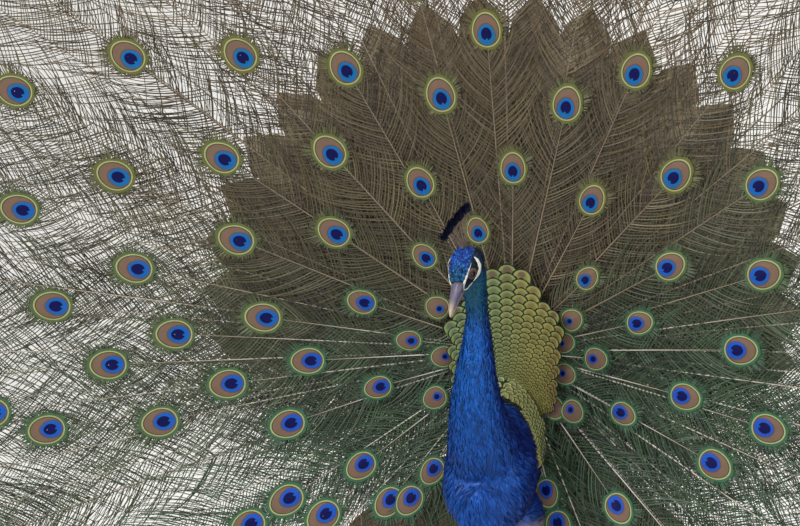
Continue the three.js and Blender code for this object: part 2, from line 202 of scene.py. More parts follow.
class Coat:
    """Gathers feather parts as arrays and makes them one joined mesh."""

    def __init__(self):
        self.points, self.faces, self.bake, self.vane, self.shade = [], [], [], [], []
        self.total = 0

    def grid(self, points, bake, vane, shade):
        """Adds sheets of quads: every array is (sheets, rows, columns, values)."""
        sheets, rows, columns = points.shape[:3]
        index = np.arange(sheets * rows * columns).reshape(sheets, rows, columns) + self.total
        corners = (index[:, :-1, :-1], index[:, :-1, 1:], index[:, 1:, 1:], index[:, 1:, :-1])
        self.faces.append(np.stack(corners, -1).reshape(-1, 4))
        self.points.append(points.reshape(-1, 3))
        self.bake.append(np.broadcast_to(bake, (*points.shape[:3], 2)).reshape(-1, 2))
        self.vane.append(np.broadcast_to(vane, (*points.shape[:3], 2)).reshape(-1, 2))
        self.shade.append(np.broadcast_to(shade, (*points.shape[:3], 4)).reshape(-1, 4))
        self.total += sheets * rows * columns

    def mesh(self, name):
        points = np.concatenate(self.points).astype(np.float32)
        faces = np.concatenate(self.faces).astype(np.int32)
        mesh = bpy.data.meshes.new(name)
        mesh.vertices.add(len(points))
        mesh.vertices.foreach_set("co", points.ravel())
        mesh.loops.add(faces.size)
        mesh.loops.foreach_set("vertex_index", faces.ravel())
        mesh.polygons.add(len(faces))
        mesh.polygons.foreach_set("loop_start", np.arange(0, faces.size, 4, dtype=np.int32))
        mesh.polygons.foreach_set("loop_total", np.full(len(faces), 4, dtype=np.int32))
        corner = faces.ravel()
        for layer, values in (("OFBake", self.bake), ("Vane", self.vane)):
            flat = np.concatenate(values).astype(np.float32)[corner]
            mesh.uv_layers.new(name=layer).uv.foreach_set("vector", flat.ravel())
        add_attribute(mesh, "shade", np.concatenate(self.shade))
        mesh.update(calc_edges=True)
        return mesh


def unit(v):
    return v / np.maximum(np.linalg.norm(v, axis=-1, keepdims=True), 1e-12)


def ribbons(path, across, width):
    """Flat strips along paths (n, steps, 3), each as wide as `width` (n, steps)."""
    half = across * (width[..., None] / 2)
    return np.stack([path - half, path + half], 2)


def loft(bm, stations, *, around=24, along=32, caps=(0.1, 0.1), side=(1, 0, 0), place=None, shape=None):
    """A closed round body along stations (x, y, z, half width, half height) in millimetres."""
    rows = np.array(stations, dtype=float)
    made = bmesh.ops.create_uvsphere(bm, u_segments=around, v_segments=along, radius=1)
    side = Vector(side).normalized()
    for vert in made["verts"]:
        angle = math.atan2(vert.co.y, vert.co.x)
        q = math.acos(max(-1, min(1, vert.co.z))) / math.pi
        t = (1 - math.cos(math.pi * q)) / 2
        values = curve_at(rows, t)
        ahead = Vector(curve_at(rows, min(1, t + 0.01))[:3] - curve_at(rows, max(0, t - 0.01))[:3])
        ahead.normalize()
        wide = (side - ahead * side.dot(ahead)).normalized()
        high = wide.cross(ahead).normalized()
        close = round_cap(t, caps[0]) * round_cap(1 - t, caps[1])
        x, z = math.cos(angle) * values[3] * close, math.sin(angle) * values[4] * close
        if shape:
            x, z = shape(t, angle, x, z)
        at = Vector(values[:3]) + wide * x + high * z
        vert.co = place(*at) if place else at * MM
    bmesh.ops.recalc_face_normals(bm, faces=bm.faces)
    return made["verts"]


def round_cap(t, share):
    return math.sqrt(max(0.0, 1 - (1 - t / share) ** 2)) if t < share else 1.0


def curve_at(rows, t):
    """A smooth curve through evenly weighted rows of values, at a share t of its length."""
    last = len(rows) - 1
    k = min(int(t * last), last - 1)
    f = t * last - k
    a, b = rows[max(k - 1, 0)], rows[k]
    c, d = rows[k + 1], rows[min(k + 2, last)]
    m0, m1 = (c - a) / 2, (d - b) / 2
    f2, f3 = f * f, f * f * f
    return (2 * f3 - 3 * f2 + 1) * b + (f3 - 2 * f2 + f) * m0 + (3 * f2 - 2 * f3) * c + (f3 - f2) * m1


# ---------- shader parts ----------
def links(material):
    """A fresh node tree with its Principled shader."""
    material.use_nodes = True
    tree = material.node_tree
    tree.nodes.clear()
    output = tree.nodes.new("ShaderNodeOutputMaterial")
    shader = tree.nodes.new("ShaderNodeBsdfPrincipled")
    link(tree, shader.outputs["BSDF"], output, "Surface")
    return tree, shader


def new_material(name, **sockets):
    material = bpy.data.materials.new(name)
    tree, shader = links(material)
    for socket, value in sockets.items():
        shader.inputs[socket.replace("_", " ")].default_value = value
    return material, tree, shader


def node(tree, kind, **values):
    """A node with its settings and, by input name, its values or links."""
    made = tree.nodes.new(kind)
    for key, value in values.items():
        if hasattr(made, key) and key != "inputs":
            setattr(made, key, value)
    return made


def feed(tree, made, **inputs):
    for key, value in inputs.items():
        socket = made.inputs[int(key[1:])] if key[0] == "i" and key[1:].isdigit() else made.inputs[key]
        if isinstance(value, bpy.types.NodeSocket):
            tree.links.new(value, socket)
        else:
            socket.default_value = value
    return made


def link(tree, output, made, socket):
    tree.links.new(output, made.inputs[socket])


def calc(tree, operation, a, b=0.0, c=0.0, clamp=False):
    made = node(tree, "ShaderNodeMath", operation=operation, use_clamp=clamp)
    feed(tree, made, i0=a, i1=b, i2=c)
    return made.outputs[0]


def step_between(tree, value, low, high):
    """0 below low, 1 above high, smooth between."""
    made = node(tree, "ShaderNodeMapRange", interpolation_type="SMOOTHSTEP")
    feed(tree, made, Value=value, **{"From Min": low, "From Max": high})
    return made.outputs["Result"]


def blend_colour(tree, factor, a, b, kind="MIX"):
    made = node(tree, "ShaderNodeMix", data_type="RGBA", blend_type=kind)
    feed(tree, made, i0=factor, i6=a, i7=b)
    return made.outputs[2]


def noise(tree, vector, scale, detail=3.0, roughness=0.55):
    made = node(tree, "ShaderNodeTexNoise")
    feed(tree, made, Vector=vector, Scale=scale, Detail=detail, Roughness=roughness)
    return made.outputs["Fac"]


def object_place(tree):
    return node(tree, "ShaderNodeTexCoord").outputs["Object"]


def attribute(tree, name):
    return node(tree, "ShaderNodeAttribute", attribute_name=name)


def group(name, inputs, output_kinds):
    """A new shader node group with its sockets and its two end nodes."""
    tree = bpy.data.node_groups.new(name, "ShaderNodeTree")
    for label, kind, default in inputs:
        socket = tree.interface.new_socket(label, in_out="INPUT", socket_type=kind)
        socket.default_value = default
    for label, kind in output_kinds:
        tree.interface.new_socket(label, in_out="OUTPUT", socket_type=kind)
    return tree, tree.nodes.new("NodeGroupInput"), tree.nodes.new("NodeGroupOutput")


def once(name, build):
    """Returns the shader group of that name, built the first time it is asked for."""
    return bpy.data.node_groups.get(name) or build(name)


def build_variation(name):
    """Two sizes of noise that lighten and darken a colour."""
    tree, start, end = group(
        name,
        [
            ("Colour", "NodeSocketColor", (0.5, 0.5, 0.5, 1)),
            ("Scale", "NodeSocketFloat", 60.0),
            ("Amount", "NodeSocketFloat", 0.3),
        ],
        [("Colour", "NodeSocketColor"), ("Height", "NodeSocketFloat")],
    )
    place = object_place(tree)
    coarse = noise(tree, place, start.outputs["Scale"])
    fine = noise(tree, place, calc(tree, "MULTIPLY", start.outputs["Scale"], 7.0))
    both = calc(tree, "ADD", calc(tree, "MULTIPLY", coarse, 0.6), calc(tree, "MULTIPLY", fine, 0.4))
    offset = calc(tree, "MULTIPLY", calc(tree, "SUBTRACT", both, 0.5), start.outputs["Amount"])
    bright = calc(tree, "MULTIPLY_ADD", offset, 4.0, 1.0)
    scaled = node(tree, "ShaderNodeVectorMath", operation="SCALE")
    feed(tree, scaled, i0=start.outputs["Colour"], Scale=bright)
    link(tree, scaled.outputs["Vector"], end, "Colour")
    link(tree, both, end, "Height")
    return tree


def variation(tree, base, scale, amount):
    made = node(tree, "ShaderNodeGroup", node_tree=once("Plumage variation", build_variation))
    feed(tree, made, Colour=base, Scale=scale, Amount=amount)
    return made.outputs["Colour"], made.outputs["Height"]


def build_barb_lines(name):
    """Fine slanting barb lines on both sides of a feather's shaft, from its own UV map."""
    tree, start, end = group(
        name,
        [("Barbs", "NodeSocketFloat", 60.0), ("Slant", "NodeSocketFloat", 0.8)],
        [("Lines", "NodeSocketFloat"), ("Shaft", "NodeSocketFloat")],
    )
    vane = node(tree, "ShaderNodeUVMap", uv_map="Vane").outputs["UV"]
    parts = node(tree, "ShaderNodeSeparateXYZ")
    tree.links.new(vane, parts.inputs[0])
    aside = calc(tree, "ABSOLUTE", calc(tree, "SUBTRACT", parts.outputs["X"], 0.5))
    run = calc(tree, "SUBTRACT", parts.outputs["Y"], calc(tree, "MULTIPLY", aside, start.outputs["Slant"]))
    wave = calc(tree, "SINE", calc(tree, "MULTIPLY", run, start.outputs["Barbs"]))
    link(tree, calc(tree, "MULTIPLY_ADD", wave, 0.5, 0.5), end, "Lines")
    link(tree, step_between(tree, aside, 0.035, 0.012), end, "Shaft")
    return tree


def barb_lines(tree, barbs, slant):
    made = node(tree, "ShaderNodeGroup", node_tree=once("Barb lines", build_barb_lines))
    feed(tree, made, Barbs=barbs, Slant=slant)
    return made.outputs["Lines"], made.outputs["Shaft"]


def bump(tree, shader, height, strength, distance):
    made = node(tree, "ShaderNodeBump")
    feed(tree, made, Height=height, Strength=strength, Distance=distance)
    link(tree, made.outputs["Normal"], shader, "Normal")


def kept(name, build):
    return bpy.data.materials.get(name) or build(name)


# ---------- materials ----------
def plumage_material(name="Iridescent plumage"):
    material, tree, shader = new_material(
        name, Metallic=0.3, Roughness=0.45, Specular_IOR_Level=0.35
    )
    base = attribute(tree, "shade").outputs["Color"]
    coloured, height = variation(tree, base, 45.0, 0.22)
    link(tree, coloured, shader, "Base Color")
    bump(tree, shader, height, 0.25, 0.0006)
    return material


def barb_material(name="Train barbs"):
    """The shade attribute holds greenness, brightness, place along the barb and nearness to an eye."""
    look = bpy.context.scene.peacock_train
    material, tree, shader = new_material(name, Metallic=0.1, Roughness=0.5)
    shade = attribute(tree, "shade")
    parts = node(tree, "ShaderNodeSeparateColor")
    tree.links.new(shade.outputs["Color"], parts.inputs[0])
    # Bronze to olive, and the halo's olive-gold to teal, follow the greenness, which partly stands for
    # painted iridescent reflection.
    body = blend_colour(tree, parts.outputs["Red"], tuple(look.bronze), tuple(look.olive))
    halo = blend_colour(tree, parts.outputs["Red"], srgb("6c6632"), srgb("3c6548"))
    near = blend_colour(tree, shade.outputs["Alpha"], body, halo)
    bright = calc(tree, "MULTIPLY_ADD", parts.outputs["Green"], 1.7, 0.2)
    scaled = node(tree, "ShaderNodeVectorMath", operation="SCALE")
    feed(tree, scaled, i0=near, Scale=bright)
    coloured, _ = variation(tree, scaled.outputs["Vector"], 30.0, 0.25)
    link(tree, coloured, shader, "Base Color")
    return material


def oval(tree, x, y, centre, half_wide, half_high):
    """Distance from a centre on the feather's long axis, 1 at the rim of an oval."""
    across = calc(tree, "DIVIDE", x, half_wide)
    along = calc(tree, "DIVIDE", calc(tree, "SUBTRACT", y, centre), half_high)
    square = calc(tree, "ADD", calc(tree, "MULTIPLY", across, across), calc(tree, "MULTIPLY", along, along))
    return calc(tree, "SQRT", square)


def inside(tree, distance, rim=1.0, soft=0.035):
    return step_between(tree, distance, rim + soft, rim - soft)


EYE_SPAN = 2.9  # width of the Vane map in half sizes of the eyespot's bright ring


def eyespot_material(name="Train eyespot"):
    """Bronze disc in thin rings, with a turquoise and indigo heart towards the feather's base."""
    material, tree, shader = new_material(name, Metallic=0.2, Roughness=0.45, Specular_IOR_Level=0.15)
    vane = node(tree, "ShaderNodeUVMap", uv_map="Vane").outputs["UV"]
    parts = node(tree, "ShaderNodeSeparateXYZ")
    tree.links.new(vane, parts.inputs[0])
    x = calc(tree, "MULTIPLY", calc(tree, "SUBTRACT", parts.outputs["X"], 0.5), EYE_SPAN)
    y = calc(tree, "MULTIPLY", calc(tree, "SUBTRACT", parts.outputs["Y"], 0.5), EYE_SPAN)
    shade = attribute(tree, "shade")
    small = shade.outputs["Alpha"]
    green = node(tree, "ShaderNodeSeparateColor")
    tree.links.new(shade.outputs["Color"], green.inputs[0])
    green = green.outputs["Red"]
    # The halo and the blue follow the feather's greenness, which partly stands for painted iridescent
    # reflection.
    halo = blend_colour(tree, green, srgb("6c6632"), srgb("3c6548"))
    water = blend_colour(tree, green, srgb("0c6c9c"), srgb("1b50b4"))
    ring = oval(tree, x, y, 0.0, 1.0, 1.0)
    bright = blend_colour(tree, inside(tree, ring, 1.02, 0.02), halo, srgb("a7ab78"))
    dark = blend_colour(tree, inside(tree, ring, 0.94, 0.02), bright, srgb("454524"))
    bronze = blend_colour(tree, inside(tree, ring, 0.875, 0.03), dark, srgb("765f4f"))
    blue_size = calc(tree, "MULTIPLY_ADD", small, -0.27, 0.62)
    blue = oval(tree, x, y, -0.26, blue_size, blue_size)
    rust = blend_colour(tree, inside(tree, blue, 1.1, 0.06), bronze, srgb("604634"))
    turquoise = blend_colour(tree, inside(tree, blue, 1.0, 0.04), rust, water)
    heart_size = calc(tree, "MULTIPLY", blue_size, 0.63)
    heart = oval(tree, x, y, -0.2, heart_size, heart_size)
    notch = oval(tree, x, y, -0.58, 0.08, 0.12)
    heart_mask = calc(
        tree,
        "MULTIPLY",
        inside(tree, heart, 1.0, 0.06),
        calc(tree, "SUBTRACT", 1.0, inside(tree, notch, 1.0, 0.15)),
    )
    indigo = blend_colour(tree, heart_mask, turquoise, srgb("02034a"))
    lines, _ = barb_lines(tree, 150.0, -1.1)
    streaked = blend_colour(tree, calc(tree, "MULTIPLY", lines, 0.22), indigo, (0.01, 0.012, 0.01, 1))
    coloured, _ = variation(tree, streaked, 90.0, 0.12)
    link(tree, coloured, shader, "Base Color")
    bump(tree, shader, lines, 0.25, 0.0004)
    return material


def shaft_material(name="Feather shaft"):
    look = bpy.context.scene.peacock_train
    material, tree, shader = new_material(name, Roughness=0.35, Coat_Weight=0.15)
    shade = attribute(tree, "shade")
    base = blend_colour(tree, shade.outputs["Alpha"], tuple(look.shaft), srgb("6b5436"))
    coloured, height = variation(tree, base, 80.0, 0.15)
    link(tree, coloured, shader, "Base Color")
    bump(tree, shader, height, 0.1, 0.0003)
    return material


def scale_material(name="Golden back scales"):
    """Green-gold scales with a dark outline at the tip."""
    material, tree, shader = new_material(name, Metallic=0.35, Roughness=0.4)
    vane = node(tree, "ShaderNodeUVMap", uv_map="Vane").outputs["UV"]
    parts = node(tree, "ShaderNodeSeparateXYZ")
    tree.links.new(vane, parts.inputs[0])
    x = calc(tree, "MULTIPLY", calc(tree, "SUBTRACT", parts.outputs["X"], 0.5), 2.0)
    y = parts.outputs["Y"]
    rim = oval(tree, x, calc(tree, "MAXIMUM", y, 0.58), 0.58, 1.0, 0.42)
    core = oval(tree, x, y, 0.72, 0.36, 0.14)
    shade = attribute(tree, "shade")
    base = shade.outputs["Color"]
    band = calc(tree, "MULTIPLY", step_between(tree, rim, 0.4, 0.66), 0.5)
    lit = blend_colour(tree, band, base, srgb("a2ad5e"))
    heart = calc(tree, "MULTIPLY", inside(tree, core, 1.0, 0.35), shade.outputs["Alpha"])
    bronzed = blend_colour(tree, heart, lit, srgb("6a5645"))
    edged = blend_colour(tree, step_between(tree, rim, 0.76, 0.84), bronzed, srgb("0c120a"))
    lines, _ = barb_lines(tree, 75.0, -1.3)
    streaked = blend_colour(tree, calc(tree, "MULTIPLY", lines, 0.28), edged, (0.012, 0.014, 0.006, 1))
    coloured, _ = variation(tree, streaked, 120.0, 0.15)
    link(tree, coloured, shader, "Base Color")
    bump(tree, shader, lines, 0.3, 0.0004)
    return material


def quill_material(name="Quill feathers"):
    """Closed vanes of tail and wing: the shade attribute gives the colour, alpha the barring."""
    material, tree, shader = new_material(name, Roughness=0.55, Sheen_Weight=0.2)
    shade = attribute(tree, "shade")
    lines, shaft = barb_lines(tree, 420.0, -1.2)
    coarse, _ = barb_lines(tree, 34.0, -0.5)
    place = object_place(tree)
    broken = calc(tree, "ADD", coarse, calc(tree, "MULTIPLY", noise(tree, place, 70.0), 0.9))
    bars = calc(tree, "MULTIPLY", step_between(tree, broken, 0.85, 1.1), shade.outputs["Alpha"])
    barred = blend_colour(tree, bars, shade.outputs["Color"], srgb("1d1a18"))
    streaked = blend_colour(tree, calc(tree, "MULTIPLY", lines, 0.3), barred, (0.02, 0.015, 0.01, 1))
    with_shaft = blend_colour(tree, calc(tree, "MULTIPLY", shaft, 0.7), streaked, srgb("b5a78c"))
    coloured, _ = variation(tree, with_shaft, 60.0, 0.25)
    link(tree, coloured, shader, "Base Color")
    bump(tree, shader, lines, 0.3, 0.0004)
    return material


def fluff_material(name="Soft down"):
    material, tree, shader = new_material(name, Roughness=0.75, Sheen_Weight=0.4)
    coloured, _ = variation(tree, attribute(tree, "shade").outputs["Color"], 50.0, 0.35)
    link(tree, coloured, shader, "Base Color")
    return material


def horn_material(name, dark, pale, tip_from, tip_to):
    """Layered horn that grows paler along its length."""
    material, tree, shader = new_material(name, Roughness=0.32, Coat_Weight=0.2, Coat_Roughness=0.2)
    along = attribute(tree, "along").outputs["Fac"]
    base = blend_colour(tree, step_between(tree, along, tip_from, tip_to), dark, pale)
    place = object_place(tree)
    streak = node(tree, "ShaderNodeMapping")
    feed(tree, streak, Vector=place, Scale=(500.0, 120.0, 120.0))
    grain = noise(tree, streak.outputs[0], 1.0, 4.0)
    streaked = blend_colour(tree, calc(tree, "MULTIPLY", grain, 0.25), base, srgb("4a4038"))
    coloured, _ = variation(tree, streaked, 200.0, 0.15)
    link(tree, coloured, shader, "Base Color")
    bump(tree, shader, grain, 0.15, 0.0003)
    return material


def bill_material(name="Bill horn"):
    return horn_material(name, srgb("625c70"), srgb("b9a48c"), 0.55, 0.95)


def claw_material(name="Claw horn"):
    return horn_material(name, srgb("3b332c"), srgb("6f6252"), 0.3, 1.0)


def leg_material(name="Scaly leg skin"):
    material, tree, shader = new_material(name, Roughness=0.55, Coat_Weight=0.08)
    place = object_place(tree)
    cells = node(tree, "ShaderNodeTexVoronoi", feature="DISTANCE_TO_EDGE")
    feed(tree, cells, Vector=place, Scale=420.0)
    gap = step_between(tree, cells.outputs["Distance"], 0.0, 0.12)
    base = blend_colour(tree, gap, srgb("5a5048"), srgb("958a7d"))
    coloured, _ = variation(tree, base, 70.0, 0.3)
    link(tree, coloured, shader, "Base Color")
    bump(tree, shader, gap, 0.5, 0.0005)
    return material


def face_material(name="Bare face skin"):
    look = bpy.context.scene.peacock_body
    material, tree, shader = new_material(name, Roughness=0.6, Subsurface_Weight=0.08)
    place = object_place(tree)
    cells = node(tree, "ShaderNodeTexVoronoi")
    feed(tree, cells, Vector=place, Scale=900.0)
    pores = step_between(tree, cells.outputs["Distance"], 0.2, 0.7)
    base = blend_colour(tree, calc(tree, "MULTIPLY", pores, 0.3), tuple(look.skin), srgb("a9a08a"))
    coloured, _ = variation(tree, base, 150.0, 0.2)
    link(tree, coloured, shader, "Base Color")
    bump(tree, shader, pores, -0.5, 0.0004)
    return material


def lid_material(name="Eyelid skin"):
    material, tree, shader = new_material(name, Roughness=0.55)
    place = object_place(tree)
    wrinkles = noise(tree, place, 900.0, 5.0)
    base = blend_colour(tree, wrinkles, srgb("241917"), srgb("6e574d"))
    link(tree, base, shader, "Base Color")
    bump(tree, shader, wrinkles, 0.6, 0.0004)
    return material


def eye_material(name="Wet brown eye"):
    """Pupil, brown iris with fine rays and a dark rim, by the distance from the line of sight."""
    material, tree, shader = new_material(name, Roughness=0.12, Specular_IOR_Level=0.3, Coat_Weight=0.2)
    gaze = attribute(tree, "gaze").outputs["Fac"]
    place = object_place(tree)
    rays = noise(tree, place, 1400.0, 4.0)
    iris = blend_colour(tree, rays, srgb("1c1008"), srgb("50321e"))
    rim = blend_colour(tree, step_between(tree, gaze, 0.62, 0.72), iris, srgb("120a08"))
    pupil = blend_colour(tree, inside(tree, gaze, 0.42, 0.02), rim, (0.002, 0.002, 0.002, 1))
    link(tree, pupil, shader, "Base Color")
    return material


def stage_material(name="Plain floor"):
    look = bpy.context.scene.peacock_stage
    material, tree, shader = new_material(name, Roughness=0.85)
    coloured, _ = variation(tree, tuple(look.floor), 1.2, 0.03)
    link(tree, coloured, shader, "Base Color")
    side = tree.nodes.new("ShaderNodeNewGeometry")
    link(tree, calc(tree, "SUBTRACT", 1.0, side.outputs["Backfacing"]), shader, "Alpha")
    return material


# ---------- skin ----------
FLESH = ("head", "neck_upper", "neck_lower", "trunk", "rump", "thigh_left", "thigh_right")

# The line the coat follows, from nape to vent, in the body's millimetres.
SPINE = (
    (-3, -99, 602),
    (-2.2, -92, 580),
    (-1, -81, 545),
    (-1, -80, 500),
    (-4, -77, 450),
    (-3, -64, 408),
    (-1, -40, 372),
    (1, -5, 345),
    (0, 60, 352),
    (0, 120, 378),
    (0, 170, 405),
    (0, 230, 462),
)


class Surface:
    """The finished skin, for placing feathers on it."""

    skin = None
    tree = None


def body_colour(points, normals):
    """Plumage colour of body places, the same for skin and coat. Points are in metres."""
    look = bpy.context.scene.peacock_body
    x, y, z = body_measures(points).T
    # Painted light and shade: where the normal faces the front (-Y), the blue is painted brighter cobalt and
    # azure, most on the mid-neck, and the throat's teal is stronger there. On the sides that turn away, it is
    # painted darker navy. This stands for the neck's iridescent sheen and for the shade on its sides.
    front = smooth(-normals[:, 1], -0.1, 0.95)
    lower = mix(look.navy, look.cobalt, front)
    bright = smooth(z, 330, 500) * (1 - smooth(z, 515, 560))
    neck = mix(lower, look.azure, front * (0.35 + 0.55 * bright))
    made = mix(neck, look.teal, smooth(z, 515, 565) * (0.45 + 0.4 * front))
    # Painted shade: the skin under the golden scales is painted dark olive-black.
    made = mix(made, srgb("20281a"), scale_shade_mask(points))
    return mix(made, look.down, smooth(y, 64, 100))


def scale_shade_mask(points):
    """1 where the golden scales cover the mantle and flanks, 0 elsewhere; there the skin is painted dark
    olive-black as shade under the scales.
    """
    x, y, z = body_measures(points).T
    return smooth(y, -1, 5) * smooth(z, 336, 348) * (1 - smooth(y, 66, 74)) * (z < 450)


def crown_line(y):
    """Height of the crown's lower edge along the head, in the head's millimetres."""
    return np.interp(y, (-30, -27, -15, -1.6, 10, 20, 26), (-1, 1.5, 6.5, 11.5, 12.5, 11.5, 10))


def head_colour(points, normals):
    """Crown, forehead, lores, throat and nape, from places in the head's own frame."""
    look = bpy.context.scene.peacock_body
    x, y, z = in_head(points).T
    low_edge = np.interp(y, (-30, -14, 0, 10), (-9, -11.5, -11, -8))
    face = smooth(z - low_edge, -1.5, 1.5) * (1 - smooth(y, 8, 14))
    nape = smooth(y, 8, 14) * smooth(z, -14, -8)
    made = mix(body_colour(points, normals), look.lores, np.maximum(0.92 * face, 0.85 * nape))
    crown = mix(srgb("0a4a6c"), look.crown, smooth(y, -26, 4))
    return mix(made, crown, smooth(z - crown_line(y), -0.5, 1.5) * (1 - smooth(y, 19, 24)))


def in_head(points):
    turn = np.array(HEAD_TURN)
    return ((points - np.array(HEAD)) @ turn) / MM


def body_measures(points):
    return (points - np.array(BIRD)) / MM


def plumage(points, normals):
    """One colour for every place of the feathered body."""
    look = bpy.context.scene.peacock_body
    x, y, z = body_measures(points).T
    on_head = (1 - smooth(in_head(points)[:, 1], 26, 40)) * smooth(z, 565, 585)
    made = mix(body_colour(points, normals), head_colour(points, normals), on_head)
    thigh = (1 - smooth(z, 262, 288)) * smooth(y, -12, 14)
    return mix(made, look.buff, thigh)


def mix_arrays(a, b, t):
    return a * (1 - t[:, None]) + b * t[:, None]


def mesh_arrays(mesh):
    points = np.empty(len(mesh.vertices) * 3, np.float32)
    normals = np.empty(len(mesh.vertices) * 3, np.float32)
    mesh.vertices.foreach_get("co", points)
    mesh.vertex_normals.foreach_get("vector", normals)
    return points.reshape(-1, 3).astype(float), normals.reshape(-1, 3).astype(float)


class PEACOCK_OT_skin(bpy.types.Operator):
    """One closed skin over head, neck, trunk, rump and thighs"""

    bl_idname = "peacock.skin"
    bl_label = "Skin"

    def execute(self, context):
        look = context.scene.peacock_body
        bm = bmesh.new()
        for name in FLESH:
            bm.from_mesh(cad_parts[name].data)
        bmesh.ops.remove_doubles(bm, verts=bm.verts, dist=1e-6)
        mesh = mesh_from(bm, "skin")
        rough = bpy.data.objects.new("skin_rough", mesh)
        context.scene.collection.objects.link(rough)
        remesh = rough.modifiers.new("One body", "REMESH")
        remesh.mode = "VOXEL"
        remesh.voxel_size = look.voxel
        context.view_layer.update()
        solid = bpy.data.meshes.new_from_object(rough.evaluated_get(context.evaluated_depsgraph_get()))
        bpy.data.objects.remove(rough)
        bm = bmesh.new()
        bm.from_mesh(solid)
        for _ in range(6):
            bmesh.ops.smooth_vert(
                bm, verts=bm.verts, factor=0.5, use_axis_x=True, use_axis_y=True, use_axis_z=True
            )
        bm.normal_update()
        for vert in bm.verts:
            local = WORLD_TO_HEAD @ vert.co / MM
            on_head = float(1 - smooth(local.length, 36, 60))
            depth = look.coat * (1 - 0.72 * on_head)
            vert.co -= vert.normal * depth
        for side in (1, -1):
            self.orbit(bm, side)
        bm.to_mesh(solid)
        bm.free()
        points, normals = mesh_arrays(solid)
        add_attribute(solid, "shade", plumage(points, normals))
        solid.name = "skin"
        Surface.skin = finish_piece(
            "skin", solid, kept("Iridescent plumage", plumage_material), replaces=FLESH, slot="plumage_blue"
        )
        Surface.tree = BVHTree.FromPolygons(
            [v.co for v in solid.vertices], [p.vertices for p in solid.polygons]
        )
        return {"FINISHED"}

    def orbit(self, bm, side):
        """Sinks the skin round the eye, so that the ball shows between its lids."""
        centre, sight, _, _ = eye_axes(side)
        for vert in bm.verts:
            off = (vert.co - centre) / MM
            out = off.dot(sight)
            radial = (off - sight * out).length
            if out > 0 and radial < 9:
                limit = 2.8 + 3.2 * float(smooth(radial, 4.5, 9))
                vert.co += sight * (min(out, limit) - out) * MM


# ---------- coat on the skin ----------
def spine_line(samples=120):
    rows = np.array(SPINE, dtype=float)
    line = np.array([curve_at(rows, t) for t in np.linspace(0, 1, samples)]) * MM + np.array(BIRD)
    return line, unit(np.gradient(line, axis=0))


def along_spine(points):
    """For each place: its share along the body's line, the line's heading, and the offset from it."""
    line, heading = spine_line()
    near = np.empty(len(points), int)
    for start in range(0, len(points), 4000):
        part = points[start : start + 4000]
        near[start : start + 4000] = ((part[:, None] - line[None]) ** 2).sum(-1).argmin(1)
    return near / (len(line) - 1), heading[near], points - line[near]


def skin_unwrap(points):
    """The skin rolled flat: once round the body across, bill to vent upwards."""
    share, heading, offset = along_spine(points)
    up = np.array((0.0, 1.0, 0.3))
    first = unit(np.cross(heading, up))
    second = np.cross(heading, first)
    angle = np.arctan2((offset * first).sum(-1), (offset * second).sum(-1))
    local = in_head(points)
    bill_ward = np.clip(-local[:, 1] / 60, 0, 1) * (share < 0.02)
    return np.column_stack([0.04 + 0.92 * (angle / (2 * np.pi) + 0.5), 0.12 + 0.84 * share - 0.1 * bill_ward])


def scatter(seed, wanted, spacing):
    """Evenly thinned random places on the skin where `wanted` says so; spacing may vary."""
    mesh = Surface.skin.data
    mesh.calc_loop_triangles()
    triangles = np.empty(len(mesh.loop_triangles) * 3, np.int32)
    mesh.loop_triangles.foreach_get("vertices", triangles)
    points, normals = mesh_arrays(mesh)
    corners = points[triangles.reshape(-1, 3)]
    corner_normals = normals[triangles.reshape(-1, 3)]
    keep = wanted(corners.mean(1))
    corners, corner_normals = corners[keep], corner_normals[keep]
    area = np.linalg.norm(np.cross(corners[:, 1] - corners[:, 0], corners[:, 2] - corners[:, 0]), axis=1) / 2
    gap = spacing(corners.mean(1))
    weight = area / gap**2
    rng = RNG(seed)
    pick = rng.choice(len(area), int(weight.sum() * 2.6), p=weight / weight.sum())
    a, b = rng.random((2, len(pick)))
    flip = a + b > 1
    a[flip], b[flip] = 1 - a[flip], 1 - b[flip]
    shares = np.column_stack([1 - a - b, a, b])[:, :, None]
    place = (corners[pick] * shares).sum(1)
    normal = unit((corner_normals[pick] * shares).sum(1))
    gap = gap[pick]
    cell = gap.max()
    taken = {}
    chosen = []
    for i, p in enumerate(place):
        key = tuple((p // cell).astype(int))
        limit = gap[i] ** 2
        if all(
            ((place[j] - p) ** 2).sum() > limit
            for dx in (-1, 0, 1)
            for dy in (-1, 0, 1)
            for dz in (-1, 0, 1)
            for j in taken.get((key[0] + dx, key[1] + dy, key[2] + dz), ())
        ):
            taken.setdefault(key, []).append(i)
            chosen.append(i)
    return place[chosen], normal[chosen]


def lie_of_coat(points, normals):
    """Unit directions in which the feathers lie: from the bill back, down the neck, to the tail."""
    _, heading, _ = along_spine(points)
    local = in_head(points)
    bill = np.array(head_point(0, -34, -4))
    from_bill = unit(points - bill)
    on_head = ((local[:, 1] < 30) & (np.linalg.norm(local, axis=1) < 48)).astype(float)
    way = mix_arrays(heading, from_bill, on_head)
    z = points[:, 2] - BIRD.z
    thigh = ((z < 0.275) & (points[:, 1] - BIRD.y > -0.01)).astype(float)
    way = mix_arrays(way, np.broadcast_to((0.0, 0.15, -1.0), way.shape), thigh)
    return unit(way - normals * (way * normals).sum(-1, keepdims=True))


